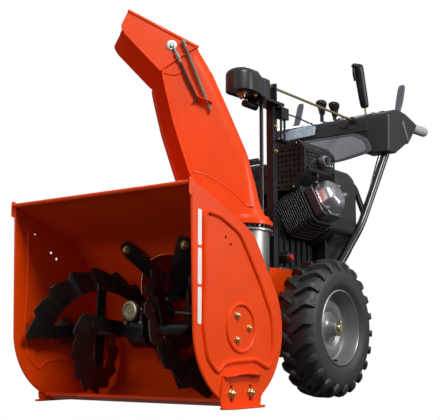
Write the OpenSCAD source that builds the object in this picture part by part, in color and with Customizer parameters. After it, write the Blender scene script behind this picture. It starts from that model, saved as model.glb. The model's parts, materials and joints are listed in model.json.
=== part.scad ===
// Two-stage walk-behind snow blower.
// Millimetres. Forward is -Y, the operator's left is +X, +Z is up.
// Lengths along Y are written from the front edge of the auger housing;
// at_origin() then moves the whole machine so that the origin lies on the
// ground under the middle of its overall length.

/* [Overall] */
// Length from the housing's front edge to the ends of the grips
overall_l = 1520; // [1480:5:1840]
// Clearing width between the side plates
clear_w = 610; // [500:1:740]
// Height of the housing's front top edge
housing_h = 535; // [500:1:650]

/* [Auger housing] */
// Thickness of the side plates
plate_t = 3; // [2:0.5:4]
// Thickness of the wrapped housing sheet
wrap_t = 2.5; // [2:0.5:4]
// Outside diameter of the auger flights
auger_d = 350; // [290:1:360]
// Gap between the auger flights and the housing sheet
auger_gap = 8; // [5:0.5:15]
// Ground clearance under the scraper bar
scraper_gap = 3; // [2:0.5:8]
// Thickness of the auger flights
flight_t = 4; // [3:0.5:6]
// Radius of the auger cross shaft
shaft_r = 12; // [9:0.5:15]
// Length of the skid shoes
shoe_l = 168; // [130:1:210]
// Height of the skid shoes' wall
shoe_h = 78; // [60:1:95]

/* [Impeller] */
// Inside radius of the impeller drum
drum_r = 158; // [130:1:170]
// Length of the impeller drum
drum_l = 160; // [133:1:192]
// Radius of the impeller shaft
impeller_shaft_r = 9.5; // [8:0.5:12]
// Number of impeller blades
blade_n = 3; // [3:1:4]

/* [Chute] */
// Distance of the chute's axis from the machine's middle plane
chute_x = 110; // [92:1:132]
// Outside width of the chute
chute_w = 176; // [146:1:184]
// Outside radius of the chute's base flange
ring_r = 101; // [98:1:121]
// Height of the chute's base flange
ring_z = 487; // [470:1:520]
// Height of the deflector's hinge above the base flange
hinge_h = 496; // [470:1:560]
// Turn of the chute from straight ahead at rest, towards the right
chute_turn = 41; // [0:1:60]
// Sheet thickness of the chute
chute_t = 2.5; // [2:0.5:4]

/* [Wheels] */
// Outside diameter of the tyres
tyre_d = 408; // [340:1:490]
// Width of the tyres
tyre_w = 120; // [100:1:144]
// Distance between the middles of the two tyres
track = 478; // [470:1:570]
// Radius of the rims at the bead
rim_r = 112; // [93:1:134]
// Radius of the axle shafts
axle_r = 9.5; // [8:0.5:12]
// Distance of the axle behind the housing's front edge
axle_y = 742; // [720:1:780]

/* [Chassis and engine] */
// Width of the chassis box
chassis_w = 290; // [240:1:320]
// Height of the chassis's top face, which the engine stands on
chassis_top = 378; // [350:1:400]
// Length of the engine's crankcase
case_l = 220; // [185:1:264]
// Upward slope of the engine's cylinder
cylinder_tilt = 25; // [15:1:30]
// Radius of the recoil starter's housing
blower_r = 165; // [140:1:180]

/* [Controls] */
// Width of the dash
dash_w = 500; // [420:2:600]
// Height of the grips
grip_z = 950; // [900:5:1000]
// Radius of the handlebar tube
bar_r = 14; // [11:0.5:17]
// Radius of the grips
grip_r = 18; // [16:0.5:22]
// Height of the chute crank rod
rod_z = 945; // [925:1:955]
// Radius of the chute crank rod
rod_r = 5; // [4:0.5:6]

/* [Fits] */
// Radial clearance of shafts that turn in a bore
run_fit = 0.05; // [0.01:0.01:0.1]
// Gap between pieces that move past each other
move_gap = 1.5; // [0.5:0.1:3]

/* [Hidden] */
$fn = 48;
eps = 0.01;
M6 = 3;
M8 = 4;
M10 = 5;
bolt_head = 1.7;                                  // bolt head radius over shank radius
half_w = clear_w / 2;
plate_x = half_w + plate_t;
auger_r = auger_d / 2;
arc_r = auger_r + auger_gap;
auger_z = arc_r + wrap_t + scraper_gap + 5;
front_lean = 22;
auger_y = arc_r + front_lean + 3;
worm_c = 47;                                      // worm above the wheel, shaft to shaft
impeller_z = auger_z + worm_c;
shoulder = [[272, housing_h - 108], [228, housing_h - 83]];
wrap_top = [6, housing_h - 4];
arc_end = 30;                                     // where the arc leaves for the shoulder
drum_y = auger_y + arc_r - 5;
drum_end = drum_y + drum_l;
chute_y = drum_y + drum_l * 0.55;
hinge_z = ring_z + hinge_h;
hinge_fwd = 211;                                 // deflector hinge, forward of the turn axis

chassis_y = drum_end + 0.1;
chassis_bot = 118;
chassis_end = 985;
axle_z = tyre_d / 2;
wheel_x = track / 2;
crank_z = chassis_top + 100;
engine_y = axle_y + 70;
cyl_dir = [cos(cylinder_tilt), 0, sin(cylinder_tilt)];
dash_y = 1178;
grip_x = dash_w / 2 - 20;
bar_top_x = dash_w / 2 - 24;
lever_y = 1262;
black = [0.07, 0.07, 0.08];
charcoal = [0.27, 0.27, 0.28];
orange = [0.93, 0.25, 0.03];
zinc = [0.66, 0.67, 0.62];
yellow_zinc = [0.72, 0.66, 0.35];

// ---------------------------------------------------------------- helpers
module at_origin() translate([0, -overall_l / 2, 0]) children();

// Extrudes a (y, z) outline along X from x0.
module along_x(x0, w) translate([x0, 0, 0]) rotate([90, 0, 90]) linear_extrude(w) children();

// Extrudes an (x, z) outline along Y from y0.
module along_y(y0, l) translate([0, y0 + l, 0]) rotate([90, 0, 0]) linear_extrude(l) children();

// Straight round bar between two points.
module bar(a, b, r) {
    v = b - a;
    translate(a) rotate([0, acos(v[2] / norm(v)), atan2(v[1], v[0])]) cylinder(h = norm(v), r = r);
}

function arc(c, r, a0, a1, n) = [for (i = [0:n]) let(a = a0 + (a1 - a0) * i / n)
    c + r * [cos(a), sin(a)]];
function reversed(p) = [for (i = [len(p) - 1:-1:0]) p[i]];

// Hex-headed bolt along X, head towards the given side.
module side_bolt(y, z, x, side, r, l) translate([x, y, z]) rotate([0, side * 90, 0]) {
    translate([0, 0, -l]) cylinder(h = l + eps, r = r);
    cylinder(h = r * 1.3, r = r * bolt_head * 1.1, $fn = 6);
}

// Closed mesh over rings of points, which run clockwise as seen from the last ring.
module loft(rings) {
    n = len(rings[0]);
    m = len(rings);
    polyhedron(points = [for (q = rings) each q], faces = concat(
        [[for (i = [n - 1:-1:0]) i]],
        [[for (i = [0:n - 1]) (m - 1) * n + i]],
        [for (k = [0:m - 2], i = [0:n - 1]) let(j = (i + 1) % n)
            each [[k * n + i, k * n + j, (k + 1) * n + j], [k * n + i, (k + 1) * n + j, (k + 1) * n + i]]]));
}

// Rings of a thin round cord along a list of points.
function unit(v) = v / norm(v);
function cord_rings(p, r, sides = 8) = [for (i = [0:len(p) - 1])
    let(t = unit(p[min(i + 1, len(p) - 1)] - p[max(i - 1, 0)]),
        u = unit(cross(t, abs(t[0]) > 0.9 ? [0, 0, 1] : [1, 0, 0])), v = cross(t, u))
    [for (k = [0:sides - 1]) p[i] + r * (cos(360 * k / sides) * u - sin(360 * k / sides) * v)]];
// Smooth curve through four control points.
function bezier(a, b, c, d, n) = [for (i = [0:n]) let(t = i / n, s = 1 - t)
    s * s * s * a + 3 * s * s * t * b + 3 * s * t * t * c + t * t * t * d];

// Rounds the inner corners of a point list with n points each.
function rounded(p, r, n) = concat([p[0]], [for (i = [1:len(p) - 2]) let(
    a = p[i] + r * unit(p[i - 1] - p[i]), b = p[i] + r * unit(p[i + 1] - p[i]))
    each [for (k = [0:n]) let(t = k / n) (1 - t) * (1 - t) * a + 2 * t * (1 - t) * p[i] + t * t * b]], [p[len(p) - 1]]);

// Straight-toothed gear outline; teeth are thinner than the gaps for backlash.
gear_thin = 0.36;
function gear_outline(teeth, pitch_r, depth) = [for (i = [0:teeth - 1]) let(p = 360 / teeth, a = i * p)
    each [for (q = [[-gear_thin / 2 - 0.06, -depth * 0.6], [-gear_thin / 2 + 0.06, depth * 0.45],
                    [gear_thin / 2 - 0.06, depth * 0.45], [gear_thin / 2 + 0.06, -depth * 0.6]])
        (pitch_r + q[1]) * [cos(a + p * q[0]), sin(a + p * q[0])]]];

// ---------------------------------------------------------------- auger housing
// Side plate outline in (y, z), moved inwards by d.
plate_r = arc_r + wrap_t + 2;
function plate_outline(d) = concat(
    [[10 + d, housing_h - 1.3 * d]],
    arc([auger_y, auger_z], plate_r - d, 180, 360 + arc_end, 40),
    [shoulder[0] + [-0.3, -1.1] * d, shoulder[1] + [-0.1, -1.2] * d]);

recess_r = 56;
bead_in = 30;
plate_bolt_r = 34;
plate_bolt_a = [0, 120, 240];
shoe_z = 36;
shoe_y = [auger_y - 48, auger_y + 32];
module side_plate(side) {
    x0 = side > 0 ? half_w : -plate_x;
    face = side > 0 ? plate_x - eps : -plate_x - 4;
    difference() {
        union() {
            along_x(x0, plate_t) polygon(plate_outline(0));
            // Embossed bead, which follows the outline and dips round the shoe's bolts.
            along_x(face, 4 + eps) difference() {
                polygon(bead_outline(0));
                polygon(bead_outline(9));
            }
            translate([side * (plate_x - eps), auger_y, auger_z]) rotate([0, side * 90, 0]) difference() {
                cylinder(h = 3, r = recess_r + 5);
                translate([0, 0, -eps]) cylinder(h = 4, r = recess_r);
            }
        }
        translate([x0 - 1, auger_y, auger_z]) rotate([0, 90, 0])
            cylinder(h = plate_t + 2, r = shaft_r + 3);
        for (a = plate_bolt_a) translate([x0 - 1, auger_y, auger_z])
            rotate([a, 0, 0]) translate([0, plate_bolt_r, 0]) rotate([0, 90, 0])
                cylinder(h = plate_t + 2, r = M8);
        for (y = shoe_y) translate([x0 - 1, y, shoe_z]) rotate([0, 90, 0])
            cylinder(h = plate_t + 2, r = M10);
        for (q = [[62, -98], [112, -160], [128, -182]])
            translate([x0 - 1, q[0], housing_h + q[1]]) rotate([45, 0, 0])
                translate([0, -4, -4]) cube([plate_t + 12, 8, 8]);
    }
}
function bead_outline(d) = concat(
    [[58 + d, housing_h - 66 - d], [58 + d, auger_z + 20]],
    arc([auger_y, auger_z], plate_r - bead_in - d, 195, 215, 4),
    [[auger_y - 74, auger_z - 76 + d], [auger_y + 62, auger_z - 76 + d]],
    arc([auger_y, auger_z], plate_r - bead_in - d, 318, 380, 10),
    [shoulder[0] + [-26, -38] - [d, d] * 0.7, shoulder[1] + [-18, -32] - [0.2, 1] * d]);

wrap_path_end = 248;
function wrap_path(d) = concat(
    [wrap_top - [0, d * 1.02]],
    [shoulder[1] + [-3, -3] - [0.2, 1.1] * d, shoulder[0] + [-4, -4] - [0.6, 0.9] * d],
    arc([auger_y, auger_z], arc_r + wrap_t - d, arc_end, wrap_path_end - 360, 36));
hem_r = 6;
module auger_housing() color(orange) at_origin() {
    difference() {
        along_x(-half_w, clear_w) polygon(concat(wrap_path(0), reversed(wrap_path(wrap_t))));
        translate([0, auger_y + 60, impeller_z]) rotate([-90, 0, 0])
            cylinder(h = arc_r, r = drum_r + wrap_t);
    }
    // Rolled hem along the front top edge
    translate([-half_w, hem_r, housing_h - hem_r]) rotate([0, 90, 0]) cylinder(h = clear_w, r = hem_r);
}
module left_side_plate() color(orange) at_origin() side_plate(1);
module right_side_plate() color(orange) at_origin() side_plate(-1);

drum_ear_r = 26;
module impeller_drum() color(orange) at_origin() difference() {
    union() {
        translate([0, drum_y - 115, impeller_z]) rotate([-90, 0, 0])
            cylinder(h = drum_l + 115, r = drum_r + wrap_t);
        translate([0, drum_end - 4, impeller_z]) rotate([-90, 0, 0])
            cylinder(h = 4, r = drum_r + 16);
    }
    translate([0, drum_y - 116, impeller_z]) rotate([-90, 0, 0])
        cylinder(h = drum_l + 116 - wrap_t, r = drum_r);
    translate([0, drum_y, impeller_z]) rotate([-90, 0, 0])
        cylinder(h = drum_l + 41, r = impeller_shaft_r + 2);
    // Only the drum behind the housing sheet remains.
    along_x(-half_w, clear_w) polygon(concat([[0, housing_h]], wrap_path(-0.2), [[0, 0]]));
    // Opening up into the chute's neck
    translate([chute_x, chute_y, impeller_z + 40]) cylinder(h = drum_r + 60, r = neck_r - 4);
}

module scraper_bar() color(zinc) at_origin() along_x(-half_w, clear_w)
    polygon(concat(
        arc([auger_y, auger_z], arc_r + wrap_t + 5.2, 248, 268, 6),
        arc([auger_y, auger_z], arc_r + wrap_t + 0.2, 268, 248, 6)));

// Skid shoe: a channel with out-turned lower and upper flanges and bolts in slots.
shoe_t = 5;
shoe_out = 30;
module skid_shoe(side) mirror([side < 0 ? 1 : 0, 0, 0]) difference() {
    union() {
        along_x(plate_x + 0.2, shoe_t) polygon([[shoe_mid - shoe_l / 2 + 14, 1], [shoe_mid + shoe_l / 2 - 14, 1],
            [shoe_mid + shoe_l / 2, 16], [shoe_mid + shoe_l / 2, shoe_h - 14], [shoe_mid + shoe_l / 2 - 16, shoe_h],
            [shoe_mid - shoe_l / 2 + 16, shoe_h], [shoe_mid - shoe_l / 2, shoe_h - 14], [shoe_mid - shoe_l / 2, 16]]);
        translate([plate_x + 0.2, shoe_mid - shoe_l / 2 + 14, 0]) cube([shoe_out, shoe_l - 28, shoe_t]);
        translate([plate_x + 0.2, shoe_mid - shoe_l / 2 + 16, shoe_h - shoe_t + 3]) cube([shoe_out * 0.7, shoe_l - 32, shoe_t]);
    }
    for (y = shoe_y) for (z = [shoe_z - 14, shoe_z + 14]) translate([plate_x - 1, y, z])
        rotate([0, 90, 0]) cylinder(h = shoe_t + 3, r = M10 + 0.5);
    for (y = shoe_y) translate([plate_x - 1, y - M10 - 0.5, shoe_z - 14]) cube([shoe_t + 3, 2 * M10 + 1, 28]);
}
shoe_mid = (shoe_y[0] + shoe_y[1]) / 2;
module left_skid_shoe() color(orange) at_origin() skid_shoe(1);
module right_skid_shoe() color(orange) at_origin() skid_shoe(-1);

module housing_fasteners() color(zinc) at_origin() {
    for (s = [-1, 1]) {
        for (y = shoe_y) side_bolt(y, shoe_z, s * (plate_x + shoe_t + 0.4), s, M10 - 0.3, shoe_t + plate_t + 12);
        for (a = plate_bolt_a) side_bolt(auger_y + plate_bolt_r * cos(a), auger_z + plate_bolt_r * sin(a),
            s * (plate_x + 0.2), s, M8 - 0.3, plate_t + 5);
    }
    // Bolts of the gearcase brace
    on_slope() for (q = brace_bolt) translate([q[0], -brace_t - 0.3, q[1]]) rotate([90, 0, 0]) {
        cylinder(h = 6, r = 8, $fn = 6);
        translate([0, 0, -brace_t + 0.3]) cylinder(h = brace_t, r = M8);
    }
    for (s = [-1, 1]) translate([s * 12, auger_y + 67, impeller_z + 32.1]) {
        cylinder(h = 5, r = 6, $fn = 6);
        translate([0, 0, -4]) cylinder(h = 5, r = M6);
    }
}

module side_reflectors() color("white") at_origin() for (s = [-1, 1]) for (i = [0:2])
    along_x(s > 0 ? plate_x + 0.05 : -plate_x - 1.05, 1)
        translate([34, housing_h - 152 - i * 92]) square([14, 86]);

// ---------------------------------------------------------------- auger
bearing_r = 26;
module auger_bearings() color(zinc) at_origin() for (s = [-1, 1])
    translate([s * (half_w - 0.1), auger_y, auger_z]) rotate([0, -s * 90, 0]) difference() {
        union() {
            cylinder(h = 4, r = bearing_r + 14);
            cylinder(h = 14, r = bearing_r - 6);
        }
        translate([0, 0, -1]) cylinder(h = 20, r = shaft_r + run_fit);
        for (a = plate_bolt_a) rotate([0, 0, -s * a]) translate([0, plate_bolt_r, -1])
            cylinder(h = 6, r = M8 - 0.25);
    }

case_half = 40;                                   // gearcase half width
tube_r = 19;
tube_in = case_half + 8;
module auger_shaft() color(zinc) at_origin() translate([-half_w - 1, auger_y, auger_z])
    rotate([0, 90, 0]) cylinder(h = clear_w + 2, r = shaft_r);

// One ribbon flight: a toothed strip that winds about X.
flight_w = 66;
flight_teeth = 7;
tooth_d = 11;
flight_turn = 205;
flight_steps = 56;
function flight_x(u) = tube_in + 22 + u * (half_w - 34 - tube_in - 22);
function saw(u) = let(f = u * flight_teeth - floor(u * flight_teeth)) f < 0.82 ? f / 0.82 : (1 - f) / 0.18;
module flight(side, a0) loft([for (i = [0:flight_steps]) let(u = i / flight_steps,
    a = a0 + flight_turn * u, c = cos(a), s = sin(a), x = flight_x(u),
    ro = auger_r - tooth_d * (1 - saw(u)), ri = auger_r - flight_w)
    side_ring([[x - flight_t / 2, ri * c, ri * s], [x + flight_t / 2, ri * c, ri * s],
     [x + flight_t / 2, ro * c, ro * s], [x - flight_t / 2, ro * c, ro * s]], side)]);
function side_ring(q, side) = let(m = [for (p = q) [side * p[0], p[1], p[2]]]) side > 0 ? reversed(m) : m;

module auger_half(side, a0) translate([0, auger_y, auger_z]) {
    for (k = [0, 180]) {
        flight(side, a0 + k);
        // Flat arms at both ends and the middle of each flight
        for (u = [0.02, 0.5, 0.98]) rotate([a0 + k + flight_turn * u, 0, 0])
            translate([side * flight_x(u) - (side > 0 ? 0 : 6), tube_r - 3, -17]) cube([6, auger_r - flight_w + 12 - tube_r, 34]);
    }
    rotate([0, side * 90, 0]) translate([0, 0, tube_in]) difference() {
        cylinder(h = half_w - 26 - tube_in, r = tube_r);
        translate([0, 0, -1]) cylinder(h = half_w, r = shaft_r + 0.1);
        translate([0, 0, 16]) rotate([0, 90, 0]) cylinder(h = 60, r = 3.2, center = true);
    }
}
module left_auger() color(black) at_origin() auger_half(1, 105);
module right_auger() color(black) at_origin() auger_half(-1, -15);
module shear_pins() color(yellow_zinc) at_origin() for (s = [-1, 1])
    translate([s * (tube_in + 16), auger_y, auger_z]) {
        cylinder(h = 2 * tube_r + 6, r = 3.1, center = true);
        translate([0, 0, tube_r + 3]) cylinder(h = 4, r = 6, $fn = 6);
    }

// ---------------------------------------------------------------- gearcase
wheel_pitch = 33;
worm_r = 13.7;
module auger_gearcase() color(black) at_origin() difference() {
    union() {
        translate([0, auger_y, auger_z]) rotate([0, 90, 0]) cylinder(h = 2 * case_half, r = 50, center = true);
        translate([0, auger_y - 62, impeller_z]) rotate([-90, 0, 0]) cylinder(h = 150, r = 27);
        translate([-27, auger_y - 50, auger_z]) cube([54, 100, worm_c]);
    }
    translate([0, auger_y, auger_z]) rotate([0, 90, 0]) {
        cylinder(h = 2 * case_half + 2, r = shaft_r + run_fit, center = true);
        cylinder(h = 2 * case_half - 16, r = wheel_pitch + 6, center = true);
    }
    translate([0, auger_y - 63, impeller_z]) rotate([-90, 0, 0]) cylinder(h = 160, r = impeller_shaft_r + run_fit);
    translate([0, auger_y - 40, impeller_z]) rotate([-90, 0, 0]) cylinder(h = 80, r = worm_r + 2);
}
module gearcase_cap() color(yellow_zinc) at_origin() translate([0, auger_y - 62, impeller_z]) rotate([90, 0, 0]) difference() {
    union() {
        cylinder(h = 5, r = 27);
        cylinder(h = 9, r = 20);
    }
    translate([0, 0, 6]) cylinder(h = 10, r = 13);
}
wheel_teeth = 20;
module worm_wheel() color([0.72, 0.55, 0.25]) at_origin() translate([0, auger_y, auger_z]) rotate([0, 90, 0]) difference() {
    linear_extrude(18, center = true) polygon(gear_outline(wheel_teeth, wheel_pitch - 2, 5));
    cylinder(h = 30, r = shaft_r + 0.1, center = true);
}

// Brace in the plane of the housing's sloping sheet, with a foot on the gearcase
wrap_in = [[auger_y, auger_z] + arc_r * [cos(arc_end), sin(arc_end)],
    shoulder[0] + [-4, -4] - [0.6, 0.9] * wrap_t];
wrap_slope = atan2(wrap_in[0][0] - wrap_in[1][0], wrap_in[1][1] - wrap_in[0][1]);
brace_t = 5;
brace_bolt = [[-118, 104], [118, 104]];
module on_slope() translate([0, wrap_in[0][0], wrap_in[0][1]]) rotate([wrap_slope, 0, 0]) children();
module gearcase_brace() color(black) at_origin() difference() {
    union() {
        on_slope() along_y(-brace_t - 0.2, brace_t) difference() {
            polygon([[-22, -6], [22, -6], [26, 14], [134, 92], [112, 120], [0, 46], [-112, 120], [-134, 92], [-26, 14]]);
            for (q = brace_bolt) translate(q) circle(M8 + 0.3);
        }
        hull() {
            on_slope() translate([-21, -brace_t, -5]) cube([42, 4, 12]);
            translate([-21, auger_y + 52, impeller_z + 20]) cube([42, 30, 12]);
        }
    }
    translate([0, auger_y - 63, impeller_z]) rotate([-90, 0, 0]) cylinder(h = 240, r = 27.1);
    for (s = [-1, 1]) translate([s * 12, auger_y + 67, impeller_z + 24]) {
        cylinder(h = 30, r = M6 + 0.3);
        translate([0, 0, 8]) cylinder(h = 40, r = 7.2);
    }
}

// ---------------------------------------------------------------- impeller
impeller_y = drum_y + 8;
impeller_l = drum_l - 26;
module impeller() color(black) at_origin() translate([0, impeller_y, impeller_z]) rotate([-90, 0, 0]) difference() {
    union() {
        cylinder(h = impeller_l, r = 24);
        for (i = [0:blade_n - 1]) rotate([0, 0, i * 360 / blade_n + 20]) {
            translate([18, -3, 0]) cube([drum_r - 26, 6, impeller_l]);
            translate([drum_r - 34, -3, 0]) cube([6, 34, impeller_l]);
        }
        translate([0, 0, impeller_l - 5]) cylinder(h = 5, r = drum_r * 0.62);
    }
    translate([0, 0, -1]) cylinder(h = impeller_l + 2, r = impeller_shaft_r + 0.1);
}
pulley_y = drum_end + 46;
module impeller_shaft() color(zinc) at_origin() {
    translate([0, auger_y - 58, impeller_z]) rotate([-90, 0, 0]) cylinder(h = pulley_y + 22 - auger_y + 58, r = impeller_shaft_r);
    translate([0, auger_y - 34, impeller_z]) rotate([-90, 0, 0]) for (i = [0:7])
        translate([0, 0, i * 8.4]) cylinder(h = 4, r = worm_r);
    // Belt pulley with its groove
    translate([0, pulley_y, impeller_z]) rotate([-90, 0, 0]) rotate_extrude() polygon([[impeller_shaft_r - 1, 0],
        [84, 0], [84, 3], [70, 8], [84, 13], [84, 16], [impeller_shaft_r - 1, 16]]);
}

// ---------------------------------------------------------------- chute
neck_r = ring_r - 10;
neck_z = ring_z - 11;
module chute_neck() color(zinc) at_origin() difference() {
    union() {
        translate([chute_x, chute_y, impeller_z + 60]) cylinder(h = neck_z - impeller_z - 60, r = neck_r);
        translate([chute_x, chute_y, neck_z - 5]) cylinder(h = 5, r = ring_r);
    }
    translate([chute_x, chute_y, impeller_z]) cylinder(h = drum_r + 200, r = neck_r - 3);
    translate([0, drum_y - 60, impeller_z]) rotate([-90, 0, 0]) cylinder(h = drum_l + 120, r = drum_r + wrap_t + 0.2);
    along_x(-half_w, clear_w) polygon(concat([[0, housing_h]], wrap_path(-0.2), [[0, 0]]));
    translate([-half_w, drum_end - 4.2, 0]) cube([clear_w, 200, impeller_z + drum_r + 16.5]);
}

// Chute walls above the round collar: back and front edges, in (forward, height over the flange).
chute_back = [[-62, 56], [-36, 118], [-14, 180], [10, 240], [36, 300], [64, 360], [92, 418], [122, hinge_h - 30]];
chute_front = [[94, 56], [126, 84], [150, 124], [176, 190], [193, 245], [209, 300], [222, 355], [232, 402]];
lip = 12;
collar_h = 62;
collar_r = ring_r - 8;
function over_flange(p) = [for (q = p) [q[0], ring_z + q[1]]];
module at_chute() translate([chute_x, chute_y, 0]) rotate([0, 0, -chute_turn]) children();
ring_teeth = 36;
pinion_teeth = 12;
ring_pitch = 94;
tooth_h = 6;
// Plate in the chute's side plane, given in (forward, height), centred on x.
module chute_side_plate(x, t) translate([x, 0, 0]) rotate([90, 0, -90]) linear_extrude(t, center = true) children();
bracket_q = [132, ring_z + 348];
module chute() color(orange) at_origin() at_chute() {
    for (s = [-1, 1]) chute_side_plate(s * (chute_w - chute_t) / 2, chute_t)
        polygon(over_flange(concat(chute_back, reversed(chute_front))));
    chute_side_plate(0, chute_w) polygon(over_flange(concat(chute_back, reversed([for (q = chute_back) q + [chute_t, 0]]))));
    for (s = [-1, 1]) chute_side_plate(s * (chute_w / 2 + lip / 2 - 0.1), lip + 0.2)
        polygon(over_flange(concat(chute_front, reversed([for (q = chute_front) q - [chute_t, 0]]))));
    // Base flange, round collar and ring gear
    difference() {
        union() {
            translate([0, 0, ring_z]) cylinder(h = 13, r = ring_r);
            translate([0, 0, ring_z]) cylinder(h = collar_h, r = collar_r);
            translate([0, 0, ring_z - 9]) rotate([0, 0, chute_turn + 90 + 180 / ring_teeth]) linear_extrude(9.5)
                polygon(gear_outline(ring_teeth, ring_pitch, tooth_h));
        }
        translate([0, 0, ring_z - 11]) cylinder(h = collar_h + 20, r = collar_r - chute_t - 2);
    }
    // Ears that carry the deflector's hinge
    for (s = [-1, 1]) difference() {
        chute_side_plate(s * (chute_w / 2 - chute_t * 1.5 + 0.1), chute_t) polygon(concat(
            [[128, hinge_z - 70], [222, hinge_z - 112]], arc([hinge_fwd, hinge_z], 17, -10, 170, 8)));
        translate([0, -hinge_fwd, hinge_z]) rotate([0, 90, 0]) cylinder(h = chute_w * 2, r = M8 + run_fit, center = true);
    }
    // Bracket for the lower ends of the cable and the spring
    translate([chute_w / 2 - 0.5, -bracket_q[0] - 4, bracket_q[1]]) rotate([-20, 0, 0]) difference() {
        translate([0, -3, 0]) cube([26, 46, 2.5]);
        translate([11.5, 28, -1]) cylinder(h = 5, r = 10.3);
        translate([7, 9, -1]) cylinder(h = 5, r = 3.6);
    }
}

// Deflector: side plates and top, in (forward, height) from the hinge.
deflector_out = [[-78, 4], [121, 97], [143, 46], [131, 23], [30, -70]];
module deflector_side() polygon(concat(deflector_out, arc([4, -62], 23, -40, -150, 8), [[-36, -66], [-66, -26]]));
deflector_half = chute_w / 2 + move_gap;
module chute_deflector() color(orange) at_origin() at_chute() difference() {
    translate([0, 0, 0]) {
        for (s = [-1, 1]) chute_side_plate(s * (deflector_half + chute_t / 2), chute_t)
            translate([hinge_fwd, hinge_z]) deflector_side();
        // Top sheet
        chute_side_plate(0, 2 * deflector_half + 0.1) translate([hinge_fwd, hinge_z])
            polygon([deflector_out[0], deflector_out[1], deflector_out[1] + [1.1, -2.3], deflector_out[0] + [1.1, -2.3]]);
    }
    translate([0, -hinge_fwd, hinge_z]) rotate([0, 90, 0]) cylinder(h = chute_w * 2, r = M8 + 0.05, center = true);
}
module deflector_hinge_bolts() color(zinc) at_origin() at_chute() for (s = [-1, 1])
    translate([s * (deflector_half + chute_t + 0.1), -hinge_fwd, hinge_z]) rotate([0, s * 90, 0]) {
        cylinder(h = 2.5, r = 15);
        translate([0, 0, 2.4]) cylinder(h = 5, r = 7, $fn = 6);
        translate([0, 0, -14]) cylinder(h = 15, r = M8);
    }
// Ribbed cable from the lower bracket up to its threaded adjuster
cable_x = deflector_half + chute_t + 6.5;
module deflector_cable() color(black) at_origin() at_chute() {
    bar([chute_w / 2 + 6.5, -bracket_q[0] - 9.5, bracket_q[1] + 1], [cable_x, -179, hinge_z - 62], 3.2);
    bar([cable_x, -179, hinge_z - 62], [cable_x, -199, hinge_z - 22], 4);
    bar([cable_x, -186, hinge_z - 48], [cable_x, -188.5, hinge_z - 43], 6.2);
    bar([cable_x, -178, hinge_z - 64], [cable_x, -180.5, hinge_z - 59], 6.2);
}
// Tension spring with its clevis, which slides through the lower bracket
spring_fwd = 175;
spring_end = [98, -187];
module deflector_spring() color(zinc) at_origin() at_chute() {
    bar([cable_x + 1.5, -spring_fwd, hinge_z - 4], [chute_w / 2 + 10.5, -spring_end[0], hinge_z + spring_end[1]], 4.3);
    bar([cable_x + 1.5, -spring_fwd - 5, hinge_z + 16], [cable_x + 1.5, -spring_fwd, hinge_z - 5], 7);
    // Eye on the pin it swings about
    translate([cable_x - 1, -spring_fwd - 3, hinge_z + 8]) rotate([0, 90, 0]) cylinder(h = 5, r = 8.6);
}

// ---------------------------------------------------------------- chute drive
pinion_pitch = ring_pitch * pinion_teeth / ring_teeth;
shaft_y = chute_y + ring_pitch + pinion_pitch;
drive_shaft_r = 6;
cover_half = 45;
cover_top = rod_z + 42;
cover_bot = rod_z - 48;
post_w = 24;
post_y = shaft_y + pinion_pitch + tooth_h + 8 + post_w / 2;
module chute_post() color(black) at_origin() {
    // Square tube from the chassis up to the head that carries the gears
    translate([chute_x - post_w / 2, post_y - post_w / 2, chassis_top]) cube([post_w, post_w, cover_bot - 6 - chassis_top]);
    difference() {
        translate([chute_x - 32, shaft_y - 26, cover_bot - 14]) cube([64, post_y - shaft_y + 50, 8.5]);
        translate([chute_x, shaft_y, cover_bot - 20]) cylinder(h = 30, r = drive_shaft_r + run_fit);
    }
    // Lower bearing arm of the vertical shaft
    difference() {
        translate([chute_x - 12, shaft_y - 14, ring_z + 22]) cube([24, post_y - post_w / 2 - shaft_y + 14.01, 8]);
        translate([chute_x, shaft_y, ring_z]) cylinder(h = 40, r = drive_shaft_r + run_fit);
    }
    // Rod bearing
    difference() {
        translate([chute_x - 14, post_y + 2, cover_bot - 6]) cube([28, 8, rod_z - cover_bot + 16]);
        translate([chute_x, post_y - 1, rod_z]) rotate([-90, 0, 0]) cylinder(h = 20, r = rod_r + run_fit);
    }
    // Cable block and its long bolts
    translate([chute_x + 10, post_y + post_w / 2 + 0.1, cover_bot - 52]) cube([20, 40, 36]);
    for (y = [10, 30]) translate([chute_x + 20, post_y + post_w / 2 + y, cover_bot - 118]) cylinder(h = 66.1, r = 4);
    translate([chute_x + 8, post_y + post_w / 2 + 0.1, cover_bot - 124]) cube([24, 40, 6.2]);
    // Sleeve under the head
    translate([chute_x - 19, shaft_y - 62, cover_bot - 26]) rotate([-90, 0, 0]) cylinder(h = 60, r = 11);
}
module cover_plan(d) hull() {
    translate([chute_x, chute_y + 46]) circle(cover_half - d);
    translate([chute_x - 34 + d, post_y + 6 - d]) square([68 - 2 * d, 10]);
}
module chute_gear_cover() color(charcoal) at_origin() difference() {
    hull() {
        translate([0, 0, cover_bot]) linear_extrude(cover_top - 14 - cover_bot) cover_plan(0);
        translate([0, 0, cover_bot]) linear_extrude(cover_top - 5 - cover_bot) cover_plan(5);
        translate([0, 0, cover_bot]) linear_extrude(cover_top - cover_bot) cover_plan(16);
    }
    translate([0, 0, cover_bot - 1]) linear_extrude(cover_top - 8 - cover_bot) cover_plan(3);
    translate([chute_x, post_y, rod_z]) rotate([-90, 0, 0]) cylinder(h = 40, r = rod_r + move_gap);
}
rod_gear_r = 30;
module chute_drive_shaft() color(zinc) at_origin() translate([chute_x, shaft_y, 0]) {
    translate([0, 0, ring_z - 11]) cylinder(h = rod_z - 12 - ring_z, r = drive_shaft_r);
    translate([0, 0, ring_z - 9]) rotate([0, 0, -90]) linear_extrude(9) polygon(gear_outline(pinion_teeth, pinion_pitch, tooth_h));
    translate([0, 0, rod_z - rod_gear_r + 1]) cylinder(h = 8, r1 = 5.5, r2 = 9);
}
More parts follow.
